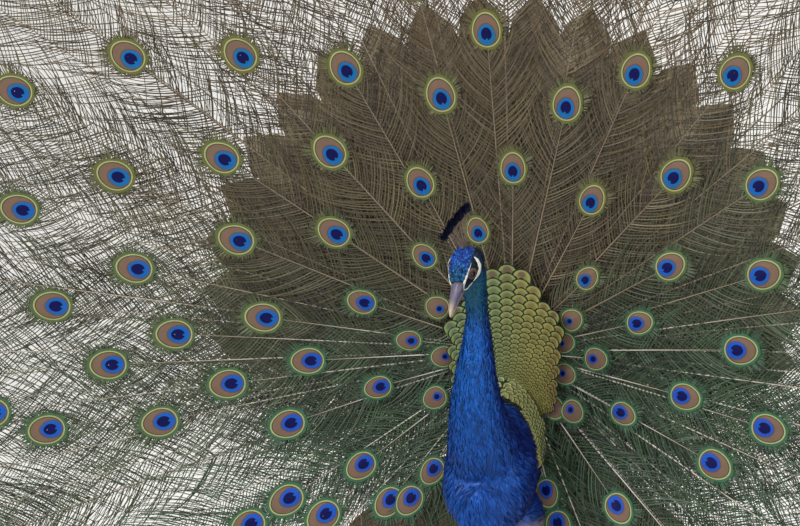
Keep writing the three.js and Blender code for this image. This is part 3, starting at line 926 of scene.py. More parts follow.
def add_tufts(coat, points, normals, seed, *, reach, spread, width, barbs, lift, colour_of, curl=0.0):
    """Small fronds of hair-like barbs, lying along the coat from each root."""
    rng = RNG(seed)
    count_all = len(points)
    way = lie_of_coat(points, normals)
    turn = rng.normal(0, 0.14, count_all)[:, None]
    across = np.cross(normals, way)
    way = unit(way + across * turn)
    across = np.cross(normals, way)
    reach = np.broadcast_to(reach, count_all) * rng.uniform(0.8, 1.15, count_all)
    unwrapped = skin_unwrap(points)
    base = colour_of(points, normals) * rng.uniform(0.6, 1.4, count_all)[:, None]
    steps = np.linspace(0, 1, 4)
    for k in range(barbs):
        aside = (k - (barbs - 1) / 2) / max(1, (barbs - 1) / 2) if barbs > 1 else 0.0
        long = reach * (1 - 0.28 * abs(aside)) * rng.uniform(0.85, 1.1, count_all)
        fan = aside * spread + rng.normal(0, 0.07, count_all)
        waver = curl * rng.normal(0, 1, count_all)[:, None] * reach[:, None] * steps**2
        path = (
            points[:, None]
            + way[:, None] * (long[:, None] * steps)[..., None]
            + across[:, None] * ((fan * reach)[:, None] * steps**0.8)[..., None]
            + normals[:, None] * (lift * reach[:, None] * np.sin(np.pi * (0.1 + 0.75 * steps)))[..., None]
            + normals[:, None] * waver[..., None]
        )
        twist = rng.normal(0, 0.35, count_all)[:, None]
        side = unit(across + normals * twist)[:, None]
        wide = width * rng.uniform(0.8, 1.2, count_all)[:, None] * np.array([0.8, 1.0, 0.75, 0.12])
        strips = ribbons(path, side, wide)
        patch = np.stack([np.zeros((4, 2)), np.zeros((4, 2))], 0).transpose(1, 0, 2).copy()
        patch[:, :, 0] = (k / barbs - 0.5) * 0.003 + np.array([0, 0.0004])
        patch[:, :, 1] = steps[:, None] * 0.003
        bake = unwrapped[:, None, None] + patch
        tone = base[:, None, None] * (0.9 + 0.25 * steps[:, None, None])
        tones = np.broadcast_to(tone, (count_all, 4, 2, 3))
        shade = np.concatenate([tones, np.ones((count_all, 4, 2, 1))], -1)
        vane = np.stack(np.meshgrid([0.0, 1.0], steps), -1)
        coat.grid(strips, bake, vane, shade)


class PEACOCK_OT_body_coat(bpy.types.Operator):
    """Fine hair-like feathers over neck, breast and belly"""

    bl_idname = "peacock.body_coat"
    bl_label = "Body feathers"

    def execute(self, context):
        plumage_look = kept("Iridescent plumage", plumage_material)

        def on_neck(points):
            local = in_head(points)
            p = body_measures(points)
            on_head = (local[:, 1] < 26) & (np.linalg.norm(local, axis=1) < 46)
            return (p[:, 2] > 392) & ~on_head & (p[:, 1] < 30)

        def on_breast(points):
            p = body_measures(points)
            covered = (p[:, 1] > 7) & (p[:, 2] > 350)
            return (p[:, 2] <= 392) & (p[:, 1] < 72) & (p[:, 2] > 255) & ~covered

        coat = Coat()
        points, normals = scatter(11, on_neck, lambda p: np.full(len(p), 0.0030))
        add_tufts(
            coat, points, normals, 12, reach=0.0105, spread=0.2, width=0.00085, barbs=5, lift=0.13,
            colour_of=plumage,
        )
        finish_piece("feathers_neck", coat.mesh("feathers_neck"), plumage_look, slot="plumage_blue")
        coat = Coat()
        points, normals = scatter(13, on_breast, lambda p: np.full(len(p), 0.0041))
        add_tufts(
            coat, points, normals, 14, reach=0.0145, spread=0.2, width=0.0011, barbs=5, lift=0.11,
            colour_of=plumage,
        )
        finish_piece("feathers_breast", coat.mesh("feathers_breast"), plumage_look, slot="plumage_blue")
        return {"FINISHED"}


class PEACOCK_OT_down(bpy.types.Operator):
    """Soft feathers of the thighs, belly and vent, and the fluff under the tail"""

    bl_idname = "peacock.down"
    bl_label = "Thigh and vent feathers"

    def execute(self, context):
        soft = kept("Soft down", fluff_material)

        def on_thigh(points):
            p = body_measures(points)
            return (p[:, 2] <= 268) & (p[:, 1] > -14)

        def on_vent(points):
            p = body_measures(points)
            return (p[:, 1] >= 68) & (p[:, 2] > 262) & (p[:, 2] < 560)

        coat = Coat()
        points, normals = scatter(21, on_thigh, lambda p: np.full(len(p), 0.0052))
        add_tufts(
            coat, points, normals, 22, reach=0.017, spread=0.28, width=0.0014, barbs=5, lift=0.1,
            colour_of=plumage,
        )
        finish_piece("feathers_thighs", coat.mesh("feathers_thighs"), soft, slot="thigh")
        coat = Coat()
        points, normals = scatter(23, on_vent, lambda p: np.full(len(p), 0.0075))
        y = body_measures(points)[:, 1]
        add_tufts(
            coat, points, normals, 24, reach=0.024 + 0.01 * smooth(y, 90, 160) - 0.016 * smooth(y, 170, 230),
            spread=0.45, width=0.0015, barbs=7, lift=0.3, colour_of=plumage, curl=0.12,
        )
        finish_piece("fluff_vent", coat.mesh("fluff_vent"), soft, slot="down")
        return {"FINISHED"}


class PEACOCK_OT_head_coat(bpy.types.Operator):
    """Short curled crown feathers and the flat small feathers of face, throat and nape"""

    bl_idname = "peacock.head_coat"
    bl_label = "Head feathers"

    def execute(self, context):
        def near_head(points):
            local = in_head(points)
            return (local[:, 1] < 27) & (np.linalg.norm(local, axis=1) < 47)

        def on_crown(points):
            local = in_head(points)
            return near_head(points) & (local[:, 2] > crown_line(local[:, 1])) & (local[:, 1] < 25)

        def on_face(points):
            return near_head(points) & ~on_crown(points)

        look = kept("Iridescent plumage", plumage_material)
        coat = Coat()
        points, normals = scatter(31, on_crown, lambda p: np.full(len(p), 0.00115))
        add_tufts(
            coat, points, normals, 32, reach=0.0032, spread=0.5, width=0.0008, barbs=3, lift=0.25,
            colour_of=crown_sparkle, curl=0.35,
        )
        points, normals = scatter(33, on_face, lambda p: np.full(len(p), 0.0016))
        clear = clear_of_bare_skin(points)
        add_tufts(
            coat, points[clear], normals[clear], 34, reach=0.0042, spread=0.25, width=0.00065, barbs=3,
            lift=0.05, colour_of=plumage,
        )
        finish_piece("feathers_head", coat.mesh("feathers_head"), look, slot="plumage_blue")
        return {"FINISHED"}


def crown_sparkle(points, normals):
    """Crown colour with feathers that catch the light and others that stay dark."""
    made = plumage(points, normals)
    chance = RNG(35).random(len(points))
    made = made * np.where(chance < 0.35, 0.3, 1.0)[:, None]
    return mix(made, srgb("2c8ad0"), 0.55 * (chance > 0.76))


# ---------- face ----------
# Bare skin bands: (x, y, z, half width) in the head's millimetres, for the left side.
BROW_BAND = (
    (15.0, -0.5, 11.6, 0.25),
    (13.4, -8.5, 8.4, 0.7),
    (11.2, -15.1, 5.1, 1.3),
    (9.2, -21, 1.8, 1.6),
    (7.6, -26.5, -1.6, 1.4),
    (7.2, -30.5, -5.5, 1.1),
    (7.0, -34, -8.8, 0.4),
)
CHEEK_BAND = (
    (12.4, -9, -10.6, 0.6),
    (14.8, -4.5, -9.2, 3.2),
    (16.8, 0.5, -6.2, 4.0),
    (18.4, 4.8, -1.6, 3.3),
    (18.4, 7, 4.0, 3.0),
    (17.2, 8.8, 9.0, 2.3),
    (15.2, 9.4, 12.4, 0.6),
)
GAPE_BAND = (
    (12.4, -9, -11.2, 0.5),
    (10.2, -17, -13.2, 0.5),
    (8.0, -23, -13.4, 0.45),
    (6.2, -30, -13, 0.35),
)


def band_points(samples=24):
    made = []
    for band in (BROW_BAND, CHEEK_BAND, GAPE_BAND):
        rows = np.array(band, dtype=float)
        for side in (1, -1):
            for t in np.linspace(0, 1, samples):
                x, y, z, half = curve_at(rows, t)
                made.append((*head_point(side * x, y, z), half * MM))
    return np.array(made)


def clear_of_bare_skin(points):
    """True where a face feather would cover neither the bare bands nor the eyes."""
    bands = band_points()
    gap = np.linalg.norm(points[:, None] - bands[None, :, :3], axis=-1) - bands[None, :, 3]
    eyes = [np.linalg.norm(points - np.array(middle("eye_" + s)), axis=1) for s in ("left", "right")]
    return (gap.min(1) > 0.0013) & (np.minimum(*eyes) > 0.0072)


def nearest_skin(point):
    place, normal, _, _ = Surface.tree.find_nearest(point)
    return place, normal


class PEACOCK_OT_face(bpy.types.Operator):
    """Bare white bands above and below the eye, and wrinkled lids round it"""

    bl_idname = "peacock.face"
    bl_label = "Bare face skin"

    def execute(self, context):
        bm = bmesh.new()
        for band, columns in ((BROW_BAND, 36), (CHEEK_BAND, 40), (GAPE_BAND, 20)):
            for side in (1, -1):
                add_band(bm, np.array(band, dtype=float), side, columns)
        bmesh.ops.recalc_face_normals(bm, faces=bm.faces)
        piece_from(bm, "face_skin", kept("Bare face skin", face_material), slot="plumage_blue")
        bm = bmesh.new()
        for side in (1, -1):
            add_lids(bm, side)
        bmesh.ops.recalc_face_normals(bm, faces=bm.faces)
        piece_from(bm, "eyelids", kept("Eyelid skin", lid_material), slot="plumage_blue")
        return {"FINISHED"}


def add_band(bm, rows, side, columns):
    """A low rounded band on the skin, closed underneath."""
    around = 8
    made = bmesh.ops.create_uvsphere(bm, u_segments=around, v_segments=columns, radius=1)
    for vert in made["verts"]:
        angle = math.atan2(vert.co.y, vert.co.x)
        t = math.acos(max(-1, min(1, vert.co.z))) / math.pi
        x, y, z, half = curve_at(rows, t)
        ahead = curve_at(rows, min(1, t + 0.02))[:3] - curve_at(rows, max(0, t - 0.02))[:3]
        place, normal = nearest_skin(head_point(side * x, y, z))
        along = (HEAD_TURN @ Vector((side * ahead[0], ahead[1], ahead[2]))).normalized()
        across = normal.cross(along).normalized()
        close = math.sin(math.pi * min(1, max(0, t))) ** 0.3
        wave = 1 + 0.12 * math.sin(34 * t + side)
        vert.co = (
            place
            + across * (math.cos(angle) * half * MM * close * wave)
            + normal * ((0.45 + 0.75 * math.sin(angle)) * MM * close)
        )


def eye_axes(side):
    """The eye's centre, its line of sight and its own up and forward."""
    centre = middle("eye_left" if side > 0 else "eye_right")
    sight = (HEAD_TURN @ Vector((side * 0.85, -0.52, 0.06))).normalized()
    ahead = HEAD_TURN @ Vector((0, -1, 0))
    ahead = (ahead - sight * ahead.dot(sight)).normalized()
    return centre, sight, ahead, ahead.cross(sight) * side


def add_lids(bm, side):
    """Two rings of soft skin that close over the ball's rim in an almond."""
    centre, sight, ahead, up = eye_axes(side)
    ball = EYE_RADIUS
    for ring, (radius, thick, out) in enumerate(((0.86, 0.16, 0.53), (1.08, 0.2, 0.32))):
        section = bmesh.ops.create_circle(bm, cap_ends=False, segments=10, radius=thick * ball)
        upright = Matrix.Rotation(math.pi / 2, 3, "X")
        bmesh.ops.rotate(bm, verts=section["verts"], cent=(0, 0, 0), matrix=upright)
        bmesh.ops.translate(bm, verts=section["verts"], vec=(radius * ball, 0, 0))
        edges = list({e for v in section["verts"] for e in v.link_edges})
        before = set(bm.verts)
        bmesh.ops.spin(
            bm, geom=section["verts"] + edges, cent=(0, 0, 0), axis=(0, 0, 1), angle=2 * math.pi,
            steps=48, use_merge=True,
        )
        ring_verts = section["verts"] + [v for v in bm.verts if v not in before]
        for vert in {v for v in ring_verts if v.is_valid}:
            x, y, z = vert.co
            angle = math.atan2(y, x)
            point = 0.1 * abs(math.cos(angle)) ** 3
            squeeze = 0.93 - 0.06 * ring * abs(math.sin(angle))
            wrinkle = 1 + 0.03 * math.sin(angle * 17 + ring)
            local_x = x * (1 + point) * wrinkle
            local_y = y * squeeze * wrinkle
            vert.co = centre + ahead * local_x + up * local_y + sight * (z + out * ball)


EYE_RADIUS = (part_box("eye_left")[1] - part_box("eye_left")[0]).x / 2


class PEACOCK_OT_eyes(bpy.types.Operator):
    """Wet brown eyes with a clear bulge over the pupil"""

    bl_idname = "peacock.eyes"
    bl_label = "Eyes"

    def execute(self, context):
        for name, side in (("left", 1), ("right", -1)):
            centre, sight, ahead, up = eye_axes(side)
            bm = bmesh.new()
            made = bmesh.ops.create_uvsphere(bm, u_segments=40, v_segments=28, radius=EYE_RADIUS)
            turn = Matrix((ahead, up, sight)).transposed()
            gaze = []
            for vert in made["verts"]:
                off = math.acos(max(-1, min(1, vert.co.z / EYE_RADIUS))) / (math.pi / 2)
                vert.co *= 1 + 0.035 * float(1 - smooth(off, 0.1, 0.55))
                vert.co = centre + turn @ vert.co
                gaze.append(min(1.5, off))
            bmesh.ops.recalc_face_normals(bm, faces=bm.faces)
            piece = piece_from(
                bm, "eye_ball_" + name, kept("Wet brown eye", eye_material),
                replaces=("eye_" + name,), slot="eye",
            )
            add_attribute(piece.data, "gaze", gaze)
        return {"FINISHED"}


# ---------- bill ----------
UPPER_BILL = (
    (0, -17, -1.5, 7.2, 5.6),
    (0, -28, -2.4, 6.8, 5.8),
    (0, -40, -4, 5.5, 4.9),
    (0, -52, -6.2, 3.8, 3.6),
    (0, -62, -9.4, 2.2, 2.5),
    (0, -67, -13.2, 0.7, 0.8),
)
LOWER_BILL = (
    (0, -19, -10.4, 6.2, 3.0),
    (0, -30, -10.8, 5.8, 2.8),
    (0, -44, -11.5, 4.3, 2.3),
    (0, -56, -12.5, 2.6, 1.6),
    (0, -61.5, -13.0, 0.9, 0.7),
)


class PEACOCK_OT_bill(bpy.types.Operator):
    """Arched upper bill with a ridge and nostrils, and the lower bill under it"""

    bl_idname = "peacock.bill"
    bl_label = "Bill"

    def execute(self, context):
        def ridged(t, angle, x, z):
            # The circle's top runs to the ridge, its lower half to the cutting edge.
            rise = max(0.0, -math.sin(angle))
            edge = 1 - 0.1 * rise
            nostril = 0.0
            for centre in (math.radians(-38), math.radians(-142)):
                near = ((t - 0.26) / 0.055) ** 2 + ((angle - centre) / 0.22) ** 2
                nostril = max(nostril, math.exp(-near))
            pinch = 1 - 0.2 * nostril
            return x * pinch * (1 - 0.16 * rise**3), z * edge * pinch + 0.0

        for name, stations, shape, node_name in (
            ("bill_upper_horn", UPPER_BILL, ridged, "bill_upper"),
            ("bill_lower_horn", LOWER_BILL, None, "bill_lower"),
        ):
            bm = bmesh.new()
            verts = loft(
                bm, stations, around=28, along=40, caps=(0.05, 0.1), place=head_point, shape=shape
            )
            along = [(-(WORLD_TO_HEAD @ v.co).y / MM - 20) / 48 for v in verts]
            piece = piece_from(
                bm, name, kept("Bill horn", bill_material), replaces=(node_name,), slot="bill"
            )
            add_attribute(piece.data, "along", along)
        return {"FINISHED"}


# ---------- crest ----------
class PEACOCK_OT_crest(bpy.types.Operator):
    """Bare brown shafts with small fans of blue-black barbs at their tips"""

    bl_idname = "peacock.crest"
    bl_label = "Crest"

    def execute(self, context):
        shafts = 24
        rng = RNG(41)
        stems, fans = Coat(), Coat()
        share = np.linspace(0, 1, shafts)
        turn = np.radians(-32 + 67 * share)
        twist = math.radians(14)
        lean = math.sin(twist) * np.sin(turn) + rng.normal(0, 0.03, shafts)
        to_world = np.array(HEAD_TURN).T
        heading = unit(np.column_stack([lean, math.cos(twist) * np.sin(turn), np.cos(turn)])) @ to_world
        root = np.array([head_point(0, 23 + (s - 0.5) * 5, 13) for s in share])
        size = 0.0465 * (1 - 0.1 * np.sin(np.pi * share)) * rng.uniform(0.97, 1.02, shafts)
        plane = np.array((math.cos(twist), -math.sin(twist), 0.0)) @ to_world
        along = unit(np.cross(heading, plane))
        steps = np.linspace(0, 1, 7)
        bow = 0.035 * np.sin(np.pi * steps)
        for spin in (0.0, math.pi / 2):
            side = unit(plane * math.cos(spin) + along * math.sin(spin))[:, None]
            path = (
                root[:, None]
                + heading[:, None] * (size[:, None] * steps)[..., None]
                + along[:, None] * (size[:, None] * bow)[..., None]
            )
            wide = np.broadcast_to(0.0006 - 0.0002 * steps, (shafts, 7))
            bake = np.stack(np.meshgrid([0.0, 0.01], 0.9 * steps), -1) + share[:, None, None, None] * 0.9
            shade = np.broadcast_to((*srgb("8d7468")[:3], 1.0), (shafts, 7, 2, 4))
            stems.grid(ribbons(path, side, wide), bake, np.zeros(2), shade)
        short = np.linspace(0, 1, 4)
        barbs = 36
        for k in range(barbs):
            out = (k // 2) / (barbs / 2 - 1)
            sweep = (1 if k % 2 else -1) * math.radians(66 - 52 * out)
            scatter = plane * rng.normal(0, 0.2, (shafts, 1))
            way = unit(heading * math.cos(sweep) + along * math.sin(sweep) + scatter)
            start = root + heading * (size - 0.006 + 0.0065 * out)[:, None]
            long = 0.0076 * (1 - 0.25 * out) * rng.uniform(0.85, 1.15, shafts)
            path = start[:, None] + way[:, None] * (long[:, None] * short)[..., None]
            side = unit(np.cross(way, plane))[:, None]
            wide = np.broadcast_to(0.0012 * np.array([0.7, 1.0, 0.9, 0.25]), (shafts, 4))
            bake = (
                np.stack(np.meshgrid([0.0, 0.002], 0.03 * short), -1)
                + np.stack([share * 0.9, np.full(shafts, 0.95 * k / barbs)], -1)[:, None, None]
            )
            glow = rng.uniform(0.5, 1.6, shafts)[:, None, None, None]
            tone = np.array(srgb("080d2c")[:3]) * glow
            shade = np.concatenate([np.broadcast_to(tone, (shafts, 4, 2, 3)), np.ones((shafts, 4, 2, 1))], -1)
            fans.grid(ribbons(path, side, wide), bake, np.zeros(2), shade)
        finish_piece(
            "crest_shafts", stems.mesh("crest_shafts"), kept("Soft down", fluff_material), slot="crest"
        )
        finish_piece(
            "crest_fans", fans.mesh("crest_fans"), kept("Iridescent plumage", plumage_material),
            replaces=("crest",), slot="crest",
        )
        return {"FINISHED"}


# ---------- golden back ----------
SCALE_ROOT = 380  # height that the rays of scales spread from, in the body's millimetres
SCALE_STEP = 0.1  # distance between rays, as a share of the distance from the root


def shield_depth(x, z):
    """Depth of the raised back at a place across and up, in the body's millimetres."""
    return 61 - 10 * (x / 67) ** 2 + 3.5 * smooth(z, 400, 577)


def shield_half(z):
    return np.interp(z, (331, 361, 410, 470, 520, 577), (48, 54, 62, 67, 67, 64))


def shield_top(x):
    return np.interp(np.abs(x), (0, 29, 41, 55, 65, 67), (576, 571, 548, 532, 521, 506))


def scale_net():
    """Places on rays that spread up and out over the back: across, up, direction and width."""
    ring, ray = np.meshgrid(np.arange(50), np.arange(-11, 12), indexing="ij")
    far = 12 * np.exp(0.57 * SCALE_STEP * (ring + 0.5 * (ray % 2)))
    turn, wide = ray * SCALE_STEP, 1.32 * SCALE_STEP * far + 1.5
    x, z = far * np.sin(turn), SCALE_ROOT + far * np.cos(turn)
    tip_x, tip_z = x + 0.5 * wide * np.sin(turn), z + 0.5 * wide * np.cos(turn)
    kept_ones = (np.abs(tip_x) < shield_half(tip_z) + 3) & (tip_z < shield_top(tip_x) + 4)
    return x[kept_ones], z[kept_ones], turn[kept_ones], wide[kept_ones]


def seen_from_front(x, z):
    """The skin or the raised back met first behind the neck: its place and normal, or None."""
    start = body_point(x, -10 if z > 420 else -220, z)
    place, normal, _, _ = Surface.tree.ray_cast(start, Vector((0, 1, 0)))
    depth = float(shield_depth(x, z)) if z > 396 else 999.0
    skin = (place.y - BIRD.y) / MM if place else 999.0
    if min(depth, skin) > 900 or skin < -4:
        return None
    if depth < skin:
        return body_point(x, depth, z), Vector((-20 * x / 67**2, -1, 0.04)).normalized()
    return (place, normal) if normal.y < -0.3 else None


def add_scales(coat, places, normals, ways, wide, shade):
    """Rounded scales on a surface, each with its tip lying over the root of the next."""
    rows, columns = 7, 7
    v = np.linspace(0, 1, rows)[None, :, None]
    u = np.linspace(-1, 1, columns)[None, None, :]
    outline = np.where(v > 0.58, np.sqrt(np.clip(1 - ((v - 0.58) / 0.42) ** 2, 0, 1)), 0.7 + 0.52 * v)
    outline = np.clip(outline, 0.05, 1.0)
    ways = unit(ways - normals * (ways * normals).sum(-1, keepdims=True))
    across = np.cross(ways, normals)
    size = wide[:, None, None]
    aside, out = u * outline * size * 0.52, (v - 0.5) * size * 1.05
    cup = 0.5 + (0.1 + 2.0 * (v - 0.2) * (1 - 0.12 * u * u)) * size / 15
    shape = (len(wide), rows, columns)
    points = places[:, None, None] + sum(
        axis[:, None, None] * np.broadcast_to(part, shape)[..., None] * MM
        for axis, part in ((across, aside), (ways, out), (normals, cup))
    )
    local = np.stack([np.broadcast_to((u + 1) / 2, shape), np.broadcast_to(v, shape)], -1)
    cells = int(math.ceil(math.sqrt(len(wide))))
    cell = np.stack([np.arange(len(wide)) % cells, np.arange(len(wide)) // cells], -1) / cells
    bake = cell[:, None, None] + (0.05 + 0.9 * local) / cells
    vane = np.stack([np.broadcast_to(0.5 + 0.5 * u * outline, shape), np.broadcast_to(v, shape)], -1)
    coat.grid(points, bake, vane, shade[:, None, None])


def gold_shade(places, rng):
    """Green on the bird's right, gold in the middle, copper at its left edge, bronze hearts on top."""
    x, y, z = body_measures(places).T
    gold = mix(srgb("587650"), srgb("857c38"), smooth(x, -30, 34))
    gold = mix(gold, srgb("865a2a"), 0.8 * smooth(x, 42, 60) * (1 - smooth(z, 450, 510)))
    gold = mix(gold, srgb("7d7a30"), 0.6 * smooth(410 - z, 0, 40))
    gold = gold * rng.uniform(0.8, 1.2, len(x))[:, None]
    bronze = 0.35 + 0.65 * smooth(z - shield_top(x), -26, -12)
    return np.column_stack([gold, bronze])


class PEACOCK_OT_back_scales(bpy.types.Operator):
    """Rows of rounded golden scales that spread up and out over the raised back"""

    bl_idname = "peacock.back_scales"
    bl_label = "Back scales"

    def execute(self, context):
        rng = RNG(51)
        coat = Coat()
        rows = []
        for x, z, turn, wide in zip(*scale_net()):
            found = seen_from_front(x + rng.normal(0, 0.4), z + rng.normal(0, 0.4))
            if found:
                lean = turn + rng.normal(0, 0.05)
                rows.append((*found[0], *found[1], math.sin(lean), 0.0, math.cos(lean), wide))
        rows = np.array(rows)
        places, normals, ways = rows[:, :3], unit(rows[:, 3:6]), rows[:, 6:9]
        wide = rows[:, 9] * rng.uniform(0.97, 1.06, len(rows))
        add_scales(coat, places, normals, ways, wide, gold_shade(places, rng))
        rows = []
        for column, y in enumerate(np.arange(8, 74, 8.5)):
            for turn in np.radians(np.arange(4 + 2.5 * (column % 2), 112, 5)):
                for side in (1, -1):
                    out = Vector((side * math.sin(turn), 0, math.cos(turn)))
                    start = body_point(0, y + rng.normal(0, 0.7), 350) + out * 0.2
                    place, normal, _, _ = Surface.tree.ray_cast(start, -out)
                    if place and place.z > BIRD.z + 0.349 and (y > 12 or turn > 0.5):
                        face = normal * 0.8 + Vector((0, -1.1, 0.1))
                        way = (side * (0.15 + 0.4 * turn), 0.2, 0.85)
                        rows.append((*place, *face, *way, rng.uniform(10, 12)))
        rows = np.array(rows)
        shade = gold_shade(rows[:, :3], rng) * (0.8, 0.78, 0.78, 0.3)
        add_scales(coat, rows[:, :3], unit(rows[:, 3:6]), rows[:, 6:9], rows[:, 9], shade)
        finish_piece(
            "scales_back", coat.mesh("scales_back"), kept("Golden back scales", scale_material),
            slot="plumage_gold",
        )
        self.backing(context)
        return {"FINISHED"}

    def backing(self, context):
        """The bed of down that the scales lie on, painted dark olive-black for the shade beneath them."""
        bm = bmesh.new()
        made = bmesh.ops.create_grid(bm, x_segments=28, y_segments=36, size=1)
        for vert in made["verts"]:
            x = 61 * vert.co.x
            top = float(shield_top(x)) - 13
            z = 396 + (top - 396) * (vert.co.y + 1) / 2
            vert.co = body_point(x * float(shield_half(z)) / 70, float(shield_depth(x, z)) + 1.6, z)
        bmesh.ops.recalc_face_normals(bm, faces=bm.faces)
        sheet = bm.faces[:]
        back = bmesh.ops.extrude_face_region(bm, geom=sheet, use_keep_orig=True)
        moved = [v for v in back["geom"] if isinstance(v, bmesh.types.BMVert)]
        bmesh.ops.translate(bm, verts=moved, vec=(0, 0.002, 0))
        bmesh.ops.recalc_face_normals(bm, faces=bm.faces)
        mesh = mesh_from(bm, "back_shade_bed")
        # Painted shade: the bed is dark olive-black for the shade under the scales.
        shades = np.tile((*srgb("20281a")[:3], 1.0), (len(mesh.vertices), 1))
        add_attribute(mesh, "shade", shades)
        finish_piece(
            "back_shade_bed", mesh, kept("Soft down", fluff_material),
            replaces=("back_shield",), slot="plumage_gold",
        )


# ---------- train ----------
TRAIN_NODES = tuple("train_%02d" % i for i in range(1, 10))
RADIUS = 1130.0
SPAN = 156.0
ROWS = (74, 147, 219, 306, 381, 461, 553, 640, 725, 808, 888, 964, 1034)
PITCH = (29, 28.5, 28, 27.8, 27.2, 26.3, 24.6, 23, 21.5, 20, 18.5, 17.5, 16.5)
OFFSET = (0, 14.2, 1.5, 13.8, -2, 13, 0.5, 12, 0, 10, 0, 8.7, 0)
# The part of the fan where each eyespot has its own place, in millimetres across and up.
SEEN_LEFT, SEEN_RIGHT, SEEN_LOW, SEEN_HIGH = -590, 352, -215, 425
# Eyespots round the bird as it is posed: degrees from straight up and millimetres from the fan's root.
SEEN_EYES = (
    (-149, 165), (-148, 208), (-143, 224), (-133, 289), (-129, 218), (-125, 311), (-125, 364),
    (-123, 102), (-109, 271), (-106, 158), (-102, 412), (-100, 540), (-97, 328), (-95, 78), (-93, 234),
    (-92, 462), (-87, 387), (-84, 118), (-84, 528), (-82, 288), (-77, 443), (-73, 586), (-71, 181),
    (-67, 342), (-65, 499), (-61, 644), (-58, 99), (-55, 404), (-55, 248), (-51, 560), (-41, 151),
    (-41, 316), (-41, 469), (-29, 387), (-27, 227), (-14, 317), (-14, 150), (-3, 386), (2, 222),
    (14, 310), (25, 378), (29, 215), (39, 445), (43, 305), (46, 136), (55, 382), (60, 233), (61, 90),
    (70, 337), (74, 171), (77, 71), (85, 291), (90, 110), (99, 225), (101, 331), (107, 74), (113, 158),
    (113, 283), (128, 104), (137, 85), (140, 224), (160, 210), (161, 170),
)


def dish(radius, angle, back):
    """A place on the fan: radius in millimetres, angle in radians from straight up."""
    a = np.abs(angle)
    sideways = np.sin(np.minimum(a, np.pi / 2)) ** 2
    slope = 0.1 + 0.14 * sideways
    curve = (0.06 + 0.04 * sideways) / 1000
    x = radius * np.sin(angle)
    y = back - slope * radius - curve * radius**2
    z = radius * np.cos(angle)
    return np.stack(np.broadcast_arrays(x, y, z), -1) * MM + np.array(FAN)


def rim_radius(angle):
    """The fan's outline at an angle from straight up, in degrees."""
    a = np.abs(angle)
    down = -np.cos(np.radians(a))
    floor_room = (FAN.z / MM - 40) / max(down, 0.05)
    longest = RADIUS * (1 - 0.42 * float(smooth(a, 92, 160)))
    return min(longest, floor_room * (1 - 0.2 * float(smooth(a, 130, 160))))


class Feather:
    """One train feather: where its eyespot sits and how it is tinted."""

    def __init__(self, row, angle, radius, size, back, rng, has_eye=True):
        self.row = row
        self.angle = math.radians(angle)
        self.radius = radius
        self.size = size
        self.back = back
        self.has_eye = has_eye
        a = abs(angle)
        # Greenness by place on the fan: bronze high up, greener low down, near the root and on the bird's
        # left. This is partly the barbs' own bronze and green, and partly painted iridescent reflection: the
        # hue that the barbs show by the angle of the light.
        green = 0.15 + 0.75 * float(smooth(a, 40, 120)) + 0.25 * float(1 - smooth(radius, 120, 420))
        green += 0.3 * float(smooth(angle, 20, 80))
        self.green = min(1.0, green + rng.normal(0, 0.06))
        self.bright = float(np.clip(rng.normal(0.5, 0.1), 0.15, 0.9))
        self.narrow = 0.94 if row == 0 else 0.81


def plan_train(look):
    """Every feather of the fan, from the short front rows to the long back ones."""
    rng = RNG(61)
    feathers = []
    small, large = look.eye_small / MM, look.eye_large / MM

    def add(row, angle, radius):
        size = small + (large - small) * float(smooth(radius, 40, 320))
        back = (row - 5) * look.layer / MM + rng.normal(0, 0.5)
        feathers.append(Feather(row, angle, radius, size, back, rng))

    for angle, radius in SEEN_EYES:
        add(int(np.abs(np.array(ROWS) - radius).argmin()), angle, radius)
    for row, (top, pitch, offset) in enumerate(zip(ROWS, PITCH, OFFSET)):
        last = int(SPAN / pitch) + 1
        for k in range(-last, last + 1):
            angle = offset + k * pitch + rng.normal(0, 0.7)
            limit = rim_radius(angle) * 0.915
            radius = top * (1 + 0.07 * math.sin(math.radians(min(abs(angle), 90))) ** 2 * (row < 8))
            radius *= 1 + rng.normal(0, 0.012)
            if abs(angle) > SPAN or radius > limit * 1.12:
                continue
            radius = (radius**-6 + (limit * 1.04) ** -6) ** (-1 / 6)
            x, z = radius * math.sin(math.radians(angle)), radius * math.cos(math.radians(angle))
            if not (SEEN_LEFT < x < SEEN_RIGHT and SEEN_LOW < z < SEEN_HIGH):
                add(row, angle, radius)
    for k in range(48):
        angle = (k + 0.5) * 344 / 48 - 172 + rng.normal(0, 1.2)
        back = rng.uniform(3, 11)
        feathers.append(Feather(13, angle, rng.uniform(140, 300), large, back, rng, has_eye=False))
        low = 80 + 90 * rng.random()
        if k % 4:
            side = -1 if k % 4 == 1 else 1
            feathers.append(Feather(13, side * low, rng.uniform(190, 400), large, back, rng, has_eye=False))
    step = 8.2
    for k in range(-15, 16):
        angle = (k + 0.5) * step + rng.normal(0, 0.8)
        if abs(angle) < 118:
            radius = rim_radius(angle) * 0.985
            feathers.append(Feather(13, angle, radius, large, 9 * look.layer / MM, rng, has_eye=False))
    return feathers


